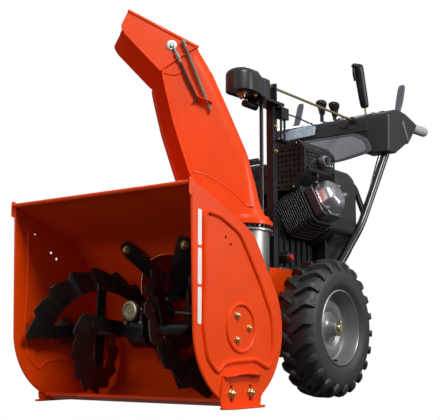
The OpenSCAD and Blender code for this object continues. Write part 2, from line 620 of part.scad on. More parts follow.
module chute_crank_rod() color(yellow_zinc) at_origin() {
    translate([chute_x, shaft_y + 10.5, rod_z]) rotate([-90, 0, 0]) cylinder(h = handle_y + 8 - shaft_y - 10.5, r = rod_r);
    translate([chute_x, shaft_y + 12, rod_z]) rotate([-90, 0, 0]) cylinder(h = 6, r1 = rod_gear_r - 6, r2 = rod_gear_r);
}
handle_y = dash_y + 108;
stem_top = [chute_x, handle_y, rod_z + 66];
grip_top = [chute_x, handle_y - 56, rod_z + 222];
module chute_handle() color(black) at_origin() {
    difference() {
        translate([chute_x, handle_y - 6, rod_z]) rotate([-90, 0, 0]) cylinder(h = 12, r = 11);
        translate([chute_x, handle_y - 7, rod_z]) rotate([-90, 0, 0]) cylinder(h = 14, r = rod_r + 0.02);
    }
    bar([chute_x, handle_y, rod_z + 9], stem_top + [0, -2, 6], 4);
    hull() {
        translate(stem_top) sphere(15, $fn = 24);
        translate(grip_top - [0, 0, 16]) sphere(17, $fn = 24);
    }
    hull() {
        translate(grip_top - [0, 2, 12]) sphere(19, $fn = 24);
        translate(grip_top - [0, 38, 12]) sphere(11, $fn = 24);
    }
}
trigger_top = grip_top - [0, 34, 28];
module chute_trigger() color(black) at_origin() {
    translate(trigger_top) rotate([0, 90, 0]) cylinder(h = 12, r = 3.6, center = true);
    bar(trigger_top + [0, 0, -2], trigger_top + [0, 8, -46], 4);
}

// ---------------------------------------------------------------- dash
dash_wall = 3;
cheek_x = dash_w / 2 - 84;
function rel(p) = [for (q = p) [dash_y + q[0], grip_z + q[1]]];
dash_mid = rel([[-2, -53], [4, 3], [50, 26], [125, 32], [227, -2], [180, -53]]);
dash_cheek = rel([[-5, -135], [4, 3], [50, 26], [125, 32], [227, -2], [157, -75], [50, -135]]);
module dash() color(charcoal) at_origin() difference() {
    union() {
        along_x(-cheek_x - dash_wall + 1, 2 * (cheek_x + dash_wall - 1)) polygon(dash_mid);
        for (x = [-dash_w / 2, cheek_x]) along_x(x, dash_w / 2 - cheek_x) polygon(dash_cheek);
    }
    along_x(-cheek_x, 2 * cheek_x) offset(delta = -dash_wall) polygon(dash_mid);
    for (x = [-dash_w / 2, cheek_x]) along_x(x + dash_wall, dash_w / 2 - cheek_x - 2 * dash_wall)
        offset(delta = -dash_wall) polygon(dash_cheek);
    // Slots for the levers and for the chute handle
    for (x = lever_x) translate([x - 7, lever_y - 45, grip_z]) cube([14, 90, 60]);
    translate([chute_x - 32, handle_y - 21, rod_z + 4]) cube([112, 42, 60]);
    // Hole for the crank rod
    translate([chute_x, dash_y - 20, rod_z]) rotate([-90, 0, 0]) cylinder(h = 60, r = rod_r + move_gap);
    // Handlebars pass through the cheeks
    for (s = [-1, 1]) {
        translate([s * bar_top_x - bar_r - 4, dash_y + 8, grip_z - 150]) cube([2 * bar_r + 8, 38, 60]);
        translate([s * grip_x - bar_r - 1, dash_y + 168, grip_z - 12 - bar_r]) cube([2 * bar_r + 2, 80, 80]);
    }
    // Clutch lever slots
    for (s = [-1, 1]) translate([s * clutch_x - 15, clutch_y - 16, grip_z - 5]) cube([30, 140, 60]);
}
lever_x = [-62, -8];
module dash_trim() color([0.55, 0.57, 0.6]) at_origin() along_y(dash_y - 16.6, 11.5)
    polygon(concat(arc([150, grip_z - 98], 42, 90, 0, 6), [[182, grip_z - 132], [60, grip_z - 152]],
        [[-60, grip_z - 152], [-182, grip_z - 132]], arc([-150, grip_z - 98], 42, 180, 90, 6)));
module headlight() color([0.7, 0.8, 0.95]) at_origin() along_y(dash_y - 15, 13.4)
    polygon([for (q = [[-198, -46], [-190, -22], [-150, -6], [-42, 0], [-36, -10], [-42, -40]]) [q[0], grip_z + q[1]]]);

// Lever that swings about X under the dash and carries a knob.
pivot_z = grip_z - 26;
module dash_lever(x, top) {
    translate([x, lever_y, pivot_z]) rotate([0, 90, 0]) cylinder(h = 10, r = 8, center = true);
    hull() for (z = [pivot_z, top - 40]) translate([x - 3, lever_y - 8, z]) cube([6, 16, 2]);
    hull() {
        translate([x - 9, lever_y, top - 17]) rotate([0, 90, 0]) cylinder(h = 18, r = 17);
        translate([x - 7, lever_y - 9, top - 56]) cube([14, 18, 4]);
    }
}
module speed_lever() color(black) at_origin() dash_lever(lever_x[0], grip_z + 116);
module deflector_lever() color(black) at_origin() dash_lever(lever_x[1], grip_z + 100);

// Clutch paddles stand up when released and lie on the grips when held.
clutch_y = dash_y + 132;
clutch_z = grip_z + 8;
clutch_x = grip_x - 14;
module clutch_lever(s) translate([s * clutch_x, clutch_y, clutch_z]) {
    rotate([0, 90, 0]) cylinder(h = 16, r = 9, center = true);
    rotate([-22, 0, 0]) along_y(-4, 8)
        polygon([[-4, 0], [4, 0], [12, 34], [11, 136], [8, 140], [-8, 140], [-11, 136], [-12, 34]]);
}
module left_clutch_lever() color([0.45, 0.46, 0.48]) at_origin() clutch_lever(1);
module right_clutch_lever() color([0.45, 0.46, 0.48]) at_origin() clutch_lever(-1);

// Handlebar tubes from the chassis through the dash to the grips.
bar_low = [chassis_w / 2 + bar_r + 0.1, 905, 352];
function bar_path(s) = [for (q = [bar_low, [bar_low[0] + 22, 1085, 548], [bar_top_x - 2, 1205, grip_z - 132],
    [bar_top_x + 4, 1262, grip_z - 34], [grip_x, 1330, grip_z - 8], [grip_x, overall_l - 4, grip_z]]) [s * q[0], q[1], q[2]]];
module bar_side(s, r) loft(cord_rings(rounded(bar_path(s), 42, 4), r, 20));
module handlebars() color(black) at_origin() {
    for (s = [-1, 1]) bar_side(s, bar_r);
    // Bowed brace between the two tubes
    loft(cord_rings(rounded([for (q = [[-1, 26, 0], [-1, -26, 116], [0, -160, 132], [1, -26, 116], [1, 26, 0]])
        [q[0] * (bar_low[0] + q[1]), 1106 + q[2] * 0.2, 592 + q[2]]], 30, 4), 10, 16));
}
grip_l = 112;
module grips() color([0.72, 0.72, 0.7]) at_origin() for (s = [-1, 1]) translate([s * grip_x, overall_l, grip_z])
    rotate([90 + atan2(8, overall_l - 1334), 0, 0]) difference() {
        rotate_extrude() polygon(concat([[0, 0], [grip_r - 5, 0], [grip_r - 1, 3]],
            [for (i = [0:9]) each [[grip_r, 8 + i * 10], [grip_r - 2, 11 + i * 10], [grip_r - 2, 13 + i * 10]]],
            [[grip_r, grip_l - 2], [grip_r - 2, grip_l], [0, grip_l]]));
        translate([0, 0, 4]) cylinder(h = grip_l, r = bar_r + 0.25);
    }

// Cables from the post's block to the dash and from the dash down to the chassis
module control_cables() color(black) at_origin() {
    loft(cord_rings(bezier([chute_x + 20, post_y + 53, cover_bot - 30], [chute_x + 20, post_y + 190, cover_bot - 20],
        [chute_x - 10, dash_y - 260, grip_z - 95], [chute_x - 20, dash_y - 3, grip_z - 30], 20), 2.5));
    for (s = [-1, 1]) let(c = lower_cable(s)) {
        loft(cord_rings(c, 2.5));
        bar(c[2], c[4], 8);
    }
}
function lower_cable(s) = bezier([s * 130, 938, chassis_top + 4], [s * 150, 1090, chassis_top + 12],
    [s * 165, 1130, grip_z - 350], [s * 205, 1190, grip_z - 137], 16);

// ---------------------------------------------------------------- chassis
chassis_t = 3;
chassis_side = [[chassis_y, chassis_bot], [chassis_y, chassis_top], [chassis_end, chassis_top],
    [chassis_end, 250], [chassis_end - 90, chassis_bot]];
module chassis() color(orange) at_origin() {
    difference() {
        along_x(-chassis_w / 2, chassis_w) polygon(chassis_side);
        along_x(-chassis_w / 2 + chassis_t, chassis_w - 2 * chassis_t) offset(delta = -chassis_t) polygon(chassis_side);
        translate([0, chassis_y - 5, impeller_z]) rotate([-90, 0, 0]) cylinder(h = 30, r = impeller_shaft_r + run_fit);
        translate([-chassis_w, axle_y, axle_z]) rotate([0, 90, 0]) cylinder(h = 2 * chassis_w, r = axle_r + 3);
    }
    // Axle bushings
    for (s = [-1, 1]) translate([s * (chassis_w / 2 - 14), axle_y, axle_z]) rotate([0, s * 90, 0]) difference() {
        union() {
            cylinder(h = 20, r = axle_r + 6);
            translate([0, 0, 14]) cylinder(h = 3, r = axle_r + 16);
        }
        translate([0, 0, -1]) cylinder(h = 30, r = axle_r + run_fit);
    }
}
module belt_cover() color(black) at_origin() difference() {
    hull() {
        translate([-128, chassis_y + 22, chassis_top + 0.1]) cube([196, engine_y - case_l / 2 - chassis_y - 40, 90]);
        translate([-60, chassis_y + 40, chassis_top + 150]) rotate([-90, 0, 0]) cylinder(h = engine_y - case_l / 2 - chassis_y - 60, r = 60, $fn = 32);
    }
    translate([-122, chassis_y + 28, chassis_top]) cube([184, engine_y - case_l / 2 - chassis_y - 40, 84]);
}

// ---------------------------------------------------------------- wheels
module tyre(s) translate([s * wheel_x, axle_y, axle_z]) rotate([0, 90, 0]) {
    h = tyre_w / 2;
    r = tyre_d / 2;
    rotate_extrude($fn = 72) polygon([[rim_r, -h + 16], [rim_r + 18, -h + 4], [rim_r + 45, -h], [r - 34, -h + 3], [r - 20, -h + 12],
        [r - 15, -h + 34], [r - 14, 0], [r - 15, h - 34], [r - 20, h - 12], [r - 34, h - 3], [rim_r + 45, h], [rim_r + 18, h - 4], [rim_r, h - 16]]);
    // Tread lugs in two staggered rows
    for (i = [0:lug_n - 1]) for (k = [-1, 1]) rotate([0, 0, (i + k / 4) * 360 / lug_n])
        translate([r - lug_h - 0.6, -11, k * h * 0.5 - h * 0.42]) cube([lug_h, 22, h * 0.84]);
}
lug_n = 20;
lug_h = 24;
module rim(s) translate([s * wheel_x, axle_y, axle_z]) rotate([0, s * 90, 0]) rotate_extrude() polygon([
    [axle_r + run_fit, -42], [20, -42], [20, 20], [44, 22], [60, 14], [80, 14], [88, 6], [92, -20], [92, -40], [rim_r - 14, -50],
    [rim_r - 0.1, -54], [rim_r - 0.1, -46], [rim_r - 10, -40], [rim_r - 12, 30], [rim_r - 0.1, 42], [rim_r - 0.1, 52], [rim_r - 6, 52],
    [rim_r - 16, 40], [rim_r - 18, 10], [86, 18], [78, 19], [62, 19], [46, 28], [20, 28], [20, 40], [axle_r + run_fit, 40]]);
module axle_half(s) {
    translate([s * 1, axle_y, axle_z]) rotate([0, s * 90, 0]) cylinder(h = wheel_x + 46, r = axle_r);
    // Cotter pin outside the hub
    translate([s * (wheel_x + 43.5), axle_y, axle_z]) cylinder(h = 44, r = 3, center = true);
}
module left_axle() color(yellow_zinc) at_origin() axle_half(1);
module right_axle() color(yellow_zinc) at_origin() axle_half(-1);
module left_tyre() color(black) at_origin() tyre(1);
module right_tyre() color(black) at_origin() tyre(-1);
module left_rim() color([0.6, 0.6, 0.58]) at_origin() rim(1);
module right_rim() color([0.6, 0.6, 0.58]) at_origin() rim(-1);

// ---------------------------------------------------------------- engine
case_w = 180;
case_h = 205;
fin_n = 9;
fin_half = 62;
module at_cylinder(l) translate([0, engine_y, crank_z] + l * cyl_dir) rotate([0, 90 - cylinder_tilt, 0]) children();
module engine_block() color(black) at_origin() {
    translate([-case_w / 2, engine_y - case_l / 2, chassis_top + 0.1]) cube([case_w, case_l, case_h]);
    translate([0, engine_y - case_l / 2 - 14, crank_z]) rotate([-90, 0, 0]) cylinder(h = 15, r = 62);
    at_cylinder(40) cylinder(h = 170, r = 48);
    for (i = [0:fin_n - 1]) at_cylinder(96 + i * 11) translate([-fin_half, -fin_half - 8, 0]) cube([2 * fin_half, 2 * fin_half + 16, 4.5]);
    at_cylinder(198) translate([-fin_half + 4, -fin_half, 0]) cube([2 * fin_half - 8, 2 * fin_half, 26]);
    translate([0, engine_y + case_l / 2 - 1, crank_z]) rotate([-90, 0, 0]) cylinder(h = 24.9, r = 90);
    // Mounting feet and drain plug
    for (s = [-1, 1]) translate([s * 98 - 14, engine_y - 85, chassis_top + 0.1]) cube([28, 170, 10]);
    translate([case_w / 2 - 1, engine_y - case_l / 2 + 24, chassis_top + 42]) rotate([0, 90, 0]) cylinder(h = 46, r = 15);
}
cover_len = 44;
module valve_cover() color([0.75, 0.76, 0.78]) at_origin() at_cylinder(224.2) {
    linear_extrude(cover_len) polygon([for (a = [22.5:45:360]) [50 * cos(a), 56 * sin(a)]]);
    linear_extrude(5) polygon([for (a = [22.5:45:360]) [58 * cos(a), 64 * sin(a)]]);
}
muffler_x = [56, 178];
muffler_y = [engine_y - 76, engine_y + 112];
muffler_z = [chassis_top + 254, chassis_top + 410];
module muffler() color(black) at_origin() {
    difference() {
        along_y(muffler_y[0], muffler_y[1] - muffler_y[0]) polygon([[muffler_x[0], muffler_z[0]], [muffler_x[1] - 34, muffler_z[0]],
            [muffler_x[1], muffler_z[0] + 60], [muffler_x[1], muffler_z[1] - 26], [muffler_x[1] - 26, muffler_z[1]], [muffler_x[0], muffler_z[1]]]);
        translate([muffler_x[0] + 4, muffler_y[0] + 4, muffler_z[0] - 1]) cube([muffler_x[1] - muffler_x[0] - 44, muffler_y[1] - muffler_y[0] - 8, muffler_z[1] - muffler_z[0] - 4]);
    }
    difference() {
        translate([muffler_x[1] - 2, muffler_y[0] + 96, muffler_z[1] - 60]) rotate([0, 90, 0]) cylinder(h = 26, r = 19);
        translate([muffler_x[1] - 6, muffler_y[0] + 96, muffler_z[1] - 60]) rotate([0, 90, 0]) cylinder(h = 36, r = 16);
    }
}
blower_y = engine_y + case_l / 2 + 24;
blower_l = 142;
blower_top = chassis_top + 362;
module blower_housing() color(charcoal) at_origin() difference() {
    hull() {
        translate([0, blower_y, crank_z]) rotate([-90, 0, 0]) cylinder(h = blower_l - 20, r = 96, $fn = 32);
        for (s = [-1, 1]) {
            translate([s * (blower_r - 32), blower_y, crank_z + 60]) rotate([-90, 0, 0]) cylinder(h = blower_l, r = 28, $fn = 32);
            translate([s * (blower_r - 30), blower_y, blower_top - 36]) rotate([-90, 0, 0]) cylinder(h = blower_l, r = 36, $fn = 32);
        }
    }
    translate([button_at[0], button_at[1] - button_travel - 1, button_at[2]]) rotate([-90, 0, 0]) cylinder(h = 30, r = button_r + 0.4);
}
button_r = 9;
button_travel = 4;
tank = [[-172, engine_y - 66, chassis_top + 246], [40, engine_y + 122, chassis_top + 356]];
cap_at = [-80, engine_y + 10];
module fuel_tank() color(black) at_origin() {
    hull() for (x = [tank[0][0] + 22, tank[1][0] - 22]) for (y = [tank[0][1] + 22, tank[1][1] - 22]) {
        translate([x, y, tank[0][2]]) cylinder(h = 4, r = 22, $fn = 24);
        translate([x, y, tank[1][2] - 22]) cylinder(h = 22, r = 14, $fn = 24);
    }
    translate([cap_at[0], cap_at[1], tank[1][2] - 1]) cylinder(h = 9, r = 24);
    // Brackets down to the crankcase
    for (x = [-70, 20]) translate([x, engine_y - 40, chassis_top + case_h + 0.2]) cube([20, 90, tank[0][2] - chassis_top - case_h - 0.1]);
}
module fuel_cap() color(black) at_origin() translate([cap_at[0], cap_at[1], tank[1][2] + 8.3]) union() {
    cylinder(h = 20, r = 31);
    translate([-28, -5, 19]) cube([56, 10, 7]);
}
recoil = [-40, blower_y + blower_l + 0.4, crank_z + 70];
module recoil_handle() color(black) at_origin() translate(recoil) {
    rotate([-90, 0, 0]) cylinder(h = 18, r = 9);
    translate([-42, 16, -9]) cube([84, 18, 18]);
}
knob_at = [88, blower_y + blower_l + 0.4, crank_z + 150];
module choke_knob() color(black) at_origin() translate(knob_at) rotate([-90, 0, 0]) {
    cylinder(h = 10, r = 15);
    translate([-13, -4, 9]) cube([26, 8, 9]);
}
throttle_at = [112, blower_y + blower_l + 0.4, crank_z + 60];
module throttle_lever() color(black) at_origin() translate(throttle_at) rotate([-90, 0, 0]) {
    cylinder(h = 7, r = 10);
    translate([-4, -34, 0]) cube([8, 34, 6]);
    translate([-8, -42, 0]) cube([16, 12, 12]);
}
button_at = [-110, blower_y + blower_l - 3.5, crank_z + 150];
module starter_button() color("red") at_origin() translate(button_at) rotate([-90, 0, 0]) cylinder(h = 10, r = button_r);

auger_housing();
left_side_plate();
right_side_plate();
impeller_drum();
scraper_bar();
left_skid_shoe();
right_skid_shoe();
housing_fasteners();
side_reflectors();
auger_bearings();
auger_shaft();
left_auger();
right_auger();
shear_pins();
auger_gearcase();
gearcase_cap();
worm_wheel();
gearcase_brace();
impeller();
impeller_shaft();
chute_neck();
chute();
chute_deflector();
deflector_hinge_bolts();
deflector_cable();
deflector_spring();
chute_post();
chute_gear_cover();
chute_drive_shaft();
chute_crank_rod();
chute_handle();
chute_trigger();
dash();
dash_trim();
headlight();
speed_lever();
deflector_lever();
left_clutch_lever();
right_clutch_lever();
grips();
handlebars();
control_cables();
chassis();
belt_cover();
left_axle();
right_axle();
left_tyre();
left_rim();
right_tyre();
right_rim();
engine_block();
valve_cover();
muffler();
blower_housing();
fuel_tank();
fuel_cap();
recoil_handle();
choke_knob();
throttle_lever();
starter_button();
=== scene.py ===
# Walk-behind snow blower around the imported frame. Helpers take the machine's own
# millimetres: x to the operator's left, y back from the housing's front edge, z up.
import json
from math import copysign, cos, floor, pi, radians, sin, tan
import bpy
from mathutils import Matrix, Vector


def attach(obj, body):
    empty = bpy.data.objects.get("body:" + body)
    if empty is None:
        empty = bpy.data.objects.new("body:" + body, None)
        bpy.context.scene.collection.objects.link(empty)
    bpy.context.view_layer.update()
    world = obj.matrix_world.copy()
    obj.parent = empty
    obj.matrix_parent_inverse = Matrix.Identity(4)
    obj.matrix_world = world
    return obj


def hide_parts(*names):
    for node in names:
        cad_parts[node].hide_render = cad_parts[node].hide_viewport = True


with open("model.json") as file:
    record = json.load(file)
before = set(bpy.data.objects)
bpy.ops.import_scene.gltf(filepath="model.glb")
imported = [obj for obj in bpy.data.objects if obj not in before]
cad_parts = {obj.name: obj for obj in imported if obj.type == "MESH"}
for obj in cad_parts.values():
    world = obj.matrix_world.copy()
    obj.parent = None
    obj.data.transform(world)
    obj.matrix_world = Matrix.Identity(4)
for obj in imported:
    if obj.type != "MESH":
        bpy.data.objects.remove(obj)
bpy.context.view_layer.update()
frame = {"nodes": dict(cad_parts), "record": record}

MM = 0.001
HALF_LENGTH = 760.0
TURN = radians(41.0)
CHUTE = (110.0, 474.0)
FWD = Vector((-sin(TURN), -cos(TURN), 0.0))
LAT = Vector((cos(TURN), -sin(TURN), 0.0))
X, Y, Z = Vector((1, 0, 0)), Vector((0, 1, 0)), Vector((0, 0, 1))


def pt(p):
    return Vector((p[0] * MM, (p[1] - HALF_LENGTH) * MM, p[2] * MM))


def ch(u, f, z):
    """Point of the turned chute: u across, f forward of its axis, z height."""
    return Vector((CHUTE[0] + u * LAT.x + f * FWD.x, CHUTE[1] + u * LAT.y + f * FWD.y, z))


def arc(cx, cy, r, a0, a1, n):
    return [(cx + r * cos(radians(a0 + (a1 - a0) * i / n)),
             cy + r * sin(radians(a0 + (a1 - a0) * i / n))) for i in range(n + 1)]


def angles(n):
    """n even steps of a full turn, in radians."""
    return [2 * pi * k / n for k in range(n)]


def lerp_table(table, v):
    """Linear interpolation in [(key, value), ...] with rising keys."""
    for (a, fa), (b, fb) in zip(table, table[1:]):
        if v <= b:
            t = max(0.0, (v - a) / (b - a))
            return fa + (fb - fa) * t
    return table[-1][1]


# ---------------------------------------------------------------- camera and lights
def aim(ob, target):
    ob.rotation_euler = (Vector(target) - ob.location).to_track_quat("-Z", "Y").to_euler()


def camera():
    cam = bpy.data.objects.new("camera", bpy.data.cameras.new("camera"))
    bpy.context.scene.collection.objects.link(cam)
    cam.data.lens, cam.data.sensor_width = 75.1, 36.0
    az, el = radians(36.53), radians(8.66)
    look = Vector((-sin(az) * cos(el), cos(az) * cos(el), sin(el)))
    cam.location = (1.622, -2.412, 0.140)
    cam.rotation_euler = look.to_track_quat("-Z", "Y").to_euler()
    bpy.context.scene.camera = cam


def area_light(name, at, target, size, power, color=(1, 1, 1)):
    light = bpy.data.lights.new(name, "AREA")
    light.shape, light.size, light.energy, light.color = "DISK", size, power, color
    ob = bpy.data.objects.new(name, light)
    bpy.context.scene.collection.objects.link(ob)
    ob.location = at
    aim(ob, target)


def studio():
    area_light("key", (3.0, -1.6, 3.2), (0, -0.2, 0.5), 1.3, 122)
    area_light("fill", (-0.6, -4.4, 1.3), (0, -0.4, 0.3), 1.6, 20)
    area_light("rim", (-2.4, 2.6, 2.8), (0, 0.2, 0.7), 1.8, 70)
    area_light("side", (3.4, 1.6, 1.3), (0.2, 0.1, 0.4), 1.2, 42)
    world = bpy.data.worlds.new("studio")
    bpy.context.scene.world = world
    world.use_nodes = True
    nt = world.node_tree
    add, link = nt.nodes.new, nt.links.new
    back = nt.nodes["Background"]
    kinds = ("LightPath", "Mix", "TexCoord", "SeparateXYZ", "MapRange", "ValToRGB")
    path, pick, co, parts, rise, ramp = (add("ShaderNode" + k) for k in kinds)
    link(co.outputs["Generated"], parts.inputs["Vector"])
    rise.inputs["From Min"].default_value, rise.inputs["From Max"].default_value = -1.0, 1.0
    link(parts.outputs["Z"], rise.inputs["Value"])
    link(rise.outputs["Result"], ramp.inputs["Fac"])
    ramp.color_ramp.elements[0].position, ramp.color_ramp.elements[1].position = 0.42, 0.85
    ramp.color_ramp.elements[0].color = (0.09, 0.09, 0.095, 1)
    ramp.color_ramp.elements[1].color = (0.42, 0.43, 0.46, 1)
    pick.data_type = "RGBA"
    link(ramp.outputs["Color"], pick.inputs["A"])
    pick.inputs["B"].default_value = (1.0, 1.0, 1.0, 1)
    link(path.outputs["Is Camera Ray"], pick.inputs["Factor"])
    link(pick.outputs["Result"], back.inputs["Color"])
    bpy.context.scene.view_settings.view_transform = "Standard"


# ---------------------------------------------------------------- materials
MATS = {}


def material(name, base, rough, metal=0.0, coat=0.0, spec=0.5, vary=0.10, vary_scale=9.0,
             grain=420.0, bump=0.06, bump_mm=0.25, rough_vary=0.08, tint=None, streak=False):
    """Procedural finish: broad colour drift, roughness patches and fine surface grain."""
    m = bpy.data.materials.new(name)
    m.use_nodes = True
    nt = m.node_tree
    add, link = nt.nodes.new, nt.links.new
    b = nt.nodes["Principled BSDF"]
    b.inputs["Metallic"].default_value = metal
    b.inputs["Specular IOR Level"].default_value = spec
    b.inputs["Coat Weight"].default_value = coat
    b.inputs["Coat Roughness"].default_value = 0.12
    co = add("ShaderNodeTexCoord")
    mapping = add("ShaderNodeMapping")
    mapping.inputs["Scale"].default_value = (1.0, 1.0, 14.0) if streak else (1.0, 1.0, 1.0)
    link(co.outputs["Object"], mapping.inputs["Vector"])
    broad = add("ShaderNodeTexNoise")
    broad.inputs["Scale"].default_value = vary_scale
    broad.inputs["Detail"].default_value = 5.0
    link(mapping.outputs["Vector"], broad.inputs["Vector"])
    ramp = add("ShaderNodeValToRGB")
    dark = tint or tuple(c * (1 - vary * 1.6) for c in base)
    light = tuple(min(1.0, c * (1 + vary) + 0.012 * vary) for c in base)
    ramp.color_ramp.elements[0].position, ramp.color_ramp.elements[1].position = 0.28, 0.72
    ramp.color_ramp.elements[0].color = (*dark, 1)
    ramp.color_ramp.elements[1].color = (*light, 1)
    link(broad.outputs["Fac"], ramp.inputs["Fac"])
    link(ramp.outputs["Color"], b.inputs["Base Color"])
    patch = add("ShaderNodeTexNoise")
    patch.inputs["Scale"].default_value = vary_scale * 4.2
    patch.inputs["Detail"].default_value = 4.0
    link(mapping.outputs["Vector"], patch.inputs["Vector"])
    spread = add("ShaderNodeMapRange")
    spread.inputs["To Min"].default_value = max(0.04, rough - rough_vary)
    spread.inputs["To Max"].default_value = rough + rough_vary
    link(patch.outputs["Fac"], spread.inputs["Value"])
    link(spread.outputs["Result"], b.inputs["Roughness"])
    fine = add("ShaderNodeTexNoise")
    fine.inputs["Scale"].default_value = grain
    fine.inputs["Detail"].default_value = 3.0
    link(mapping.outputs["Vector"], fine.inputs["Vector"])
    bp = add("ShaderNodeBump")
    bp.inputs["Strength"].default_value = bump
    bp.inputs["Distance"].default_value = bump_mm * MM
    link(fine.outputs["Fac"], bp.inputs["Height"])
    link(bp.outputs["Normal"], b.inputs["Normal"])
    MATS[name] = m
    return m


def materials():
    material("orange_paint", (0.92, 0.066, 0.001), 0.36, coat=0.08, spec=0.2, vary=0.05, grain=170,
             bump=0.22, bump_mm=0.5)
    material("black_paint", (0.006, 0.006, 0.0065), 0.28, coat=0.25, vary=0.3, bump=0.12)
    material("auger_black", (0.008, 0.0065, 0.0065), 0.26, vary=0.5, coat=0.25, grain=300, bump=0.15,
             tint=(0.014, 0.006, 0.004))
    material("zinc", (0.40, 0.405, 0.37), 0.36, metal=0.9, vary=0.18, grain=700)
    material("yellow_zinc", (0.55, 0.42, 0.14), 0.33, metal=0.9, vary=0.22, grain=700,
             tint=(0.50, 0.47, 0.33))
    material("bronze", (0.55, 0.33, 0.10), 0.35, metal=0.9)
    material("charcoal", (0.028, 0.028, 0.029), 0.34, vary=0.10, grain=900, bump=0.18)
    material("trim_grey", (0.34, 0.36, 0.39), 0.28, vary=0.12, vary_scale=4, coat=0.3)
    material("knob_black", (0.010, 0.010, 0.011), 0.40, vary=0.15, grain=900, bump=0.2)
    material("paddle_grey", (0.13, 0.135, 0.15), 0.40, vary=0.12, grain=800, bump=0.15)
    material("grip_grey", (0.50, 0.49, 0.46), 0.62, vary=0.12, grain=600, bump=0.25)
    material("cable", (0.012, 0.012, 0.012), 0.40, vary=0.2)
    material("tyre", (0.020, 0.020, 0.0205), 0.50, vary=0.35, vary_scale=14, grain=260, bump=0.35,
             bump_mm=0.6, tint=(0.030, 0.029, 0.028))
    material("rim", (0.27, 0.27, 0.265), 0.36, metal=0.55, vary=0.10, grain=380, bump=0.10)
    material("engine_black", (0.013, 0.013, 0.014), 0.36, metal=0.3, vary=0.3, grain=240, bump=0.30,
             bump_mm=0.6)
    material("valve_silver", (0.55, 0.56, 0.58), 0.30, metal=0.9, vary=0.14, grain=300, bump=0.12)
    material("muffler_black", (0.010, 0.0095, 0.0095), 0.33, metal=0.2, vary=0.5, grain=260, bump=0.2,
             tint=(0.014, 0.009, 0.007))
    material("lens", (0.55, 0.68, 0.98), 0.12, metal=0.1, coat=1.0, vary=0.35, vary_scale=26, grain=120,
             bump=0.5, bump_mm=1.0)
    material("reflector", (0.92, 0.92, 0.92), 0.30, vary=0.03, grain=500, bump=0.2)
    material("button_red", (0.42, 0.014, 0.008), 0.28, coat=0.4)
    material("fin_grey", (0.055, 0.056, 0.058), 0.34, metal=0.4, vary=0.25, grain=240, bump=0.3,
             bump_mm=0.6)
    material("dark_inside", (0.006, 0.006, 0.006), 0.8, vary=0.2)


# ---------------------------------------------------------------- mesh helpers
def weld_and_smooth():
    """Node group that welds a mesh and shades it smooth, except over sharp edges."""
    g = bpy.data.node_groups.new("weld_and_smooth", "GeometryNodeTree")
    g.interface.new_socket("Geometry", in_out="INPUT", socket_type="NodeSocketGeometry")
    g.interface.new_socket("Geometry", in_out="OUTPUT", socket_type="NodeSocketGeometry")
    add, link = g.nodes.new, g.links.new
    start, end = add("NodeGroupInput"), add("NodeGroupOutput")
    plain = add("GeometryNodeRemoveAttribute")
    plain.inputs["Name"].default_value = "custom_normal"
    weld = add("GeometryNodeMergeByDistance")
    weld.inputs["Distance"].default_value = 2e-5
    face = add("GeometryNodeSetShadeSmooth")
    edge = add("GeometryNodeSetShadeSmooth")
    edge.domain = "EDGE"
    angle = add("GeometryNodeInputMeshEdgeAngle")
    flat = add("FunctionNodeCompare")
    flat.data_type, flat.operation = "FLOAT", "LESS_EQUAL"
    flat.inputs["B"].default_value = radians(34)
    link(start.outputs[0], plain.inputs["Geometry"])
    link(plain.outputs["Geometry"], weld.inputs["Geometry"])
    link(weld.outputs["Geometry"], face.inputs["Geometry"])
    link(face.outputs["Geometry"], edge.inputs["Geometry"])
    link(angle.outputs["Unsigned Angle"], flat.inputs["A"])
    link(flat.outputs["Result"], edge.inputs["Shade Smooth"])
    link(edge.outputs["Geometry"], end.inputs[0])
    return g


SMOOTH = weld_and_smooth()


def dress(ob, bevel=0.0, segments=2):
    """Rounded edges and smooth shading."""
    mod = ob.modifiers.new("smooth", "NODES")
    mod.node_group = SMOOTH
    if bevel:
        mod = ob.modifiers.new("edges", "BEVEL")
        mod.width, mod.segments = bevel * MM, segments
        mod.limit_method, mod.angle_limit = "ANGLE", radians(34)
        mod.harden_normals = True
    mod = ob.modifiers.new("flat", "WEIGHTED_NORMAL")
    mod.keep_sharp, mod.weight = True, 80


def piece(name, verts, faces, mat, body, replaces=(), bevel=0.0, segments=2, sub=0, raw=False):
    me = bpy.data.meshes.new(name)
    me.from_pydata([v if raw else pt(v) for v in verts], [], faces)
    me.validate()
    return finish_piece(name, me, mat, body, replaces, bevel, segments, sub)


def finish_piece(name, me, mat, body, replaces=(), bevel=0.0, segments=2, sub=0):
    me.materials.clear()
    me.materials.append(MATS[mat])
    ob = bpy.data.objects.new(name, me)
    bpy.context.scene.collection.objects.link(ob)
    if sub:
        mod = ob.modifiers.new("subdivision", "SUBSURF")
        mod.levels = mod.render_levels = sub
    dress(ob, bevel, segments)
    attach(ob, body)
    if replaces:
        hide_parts(*replaces)
    return ob


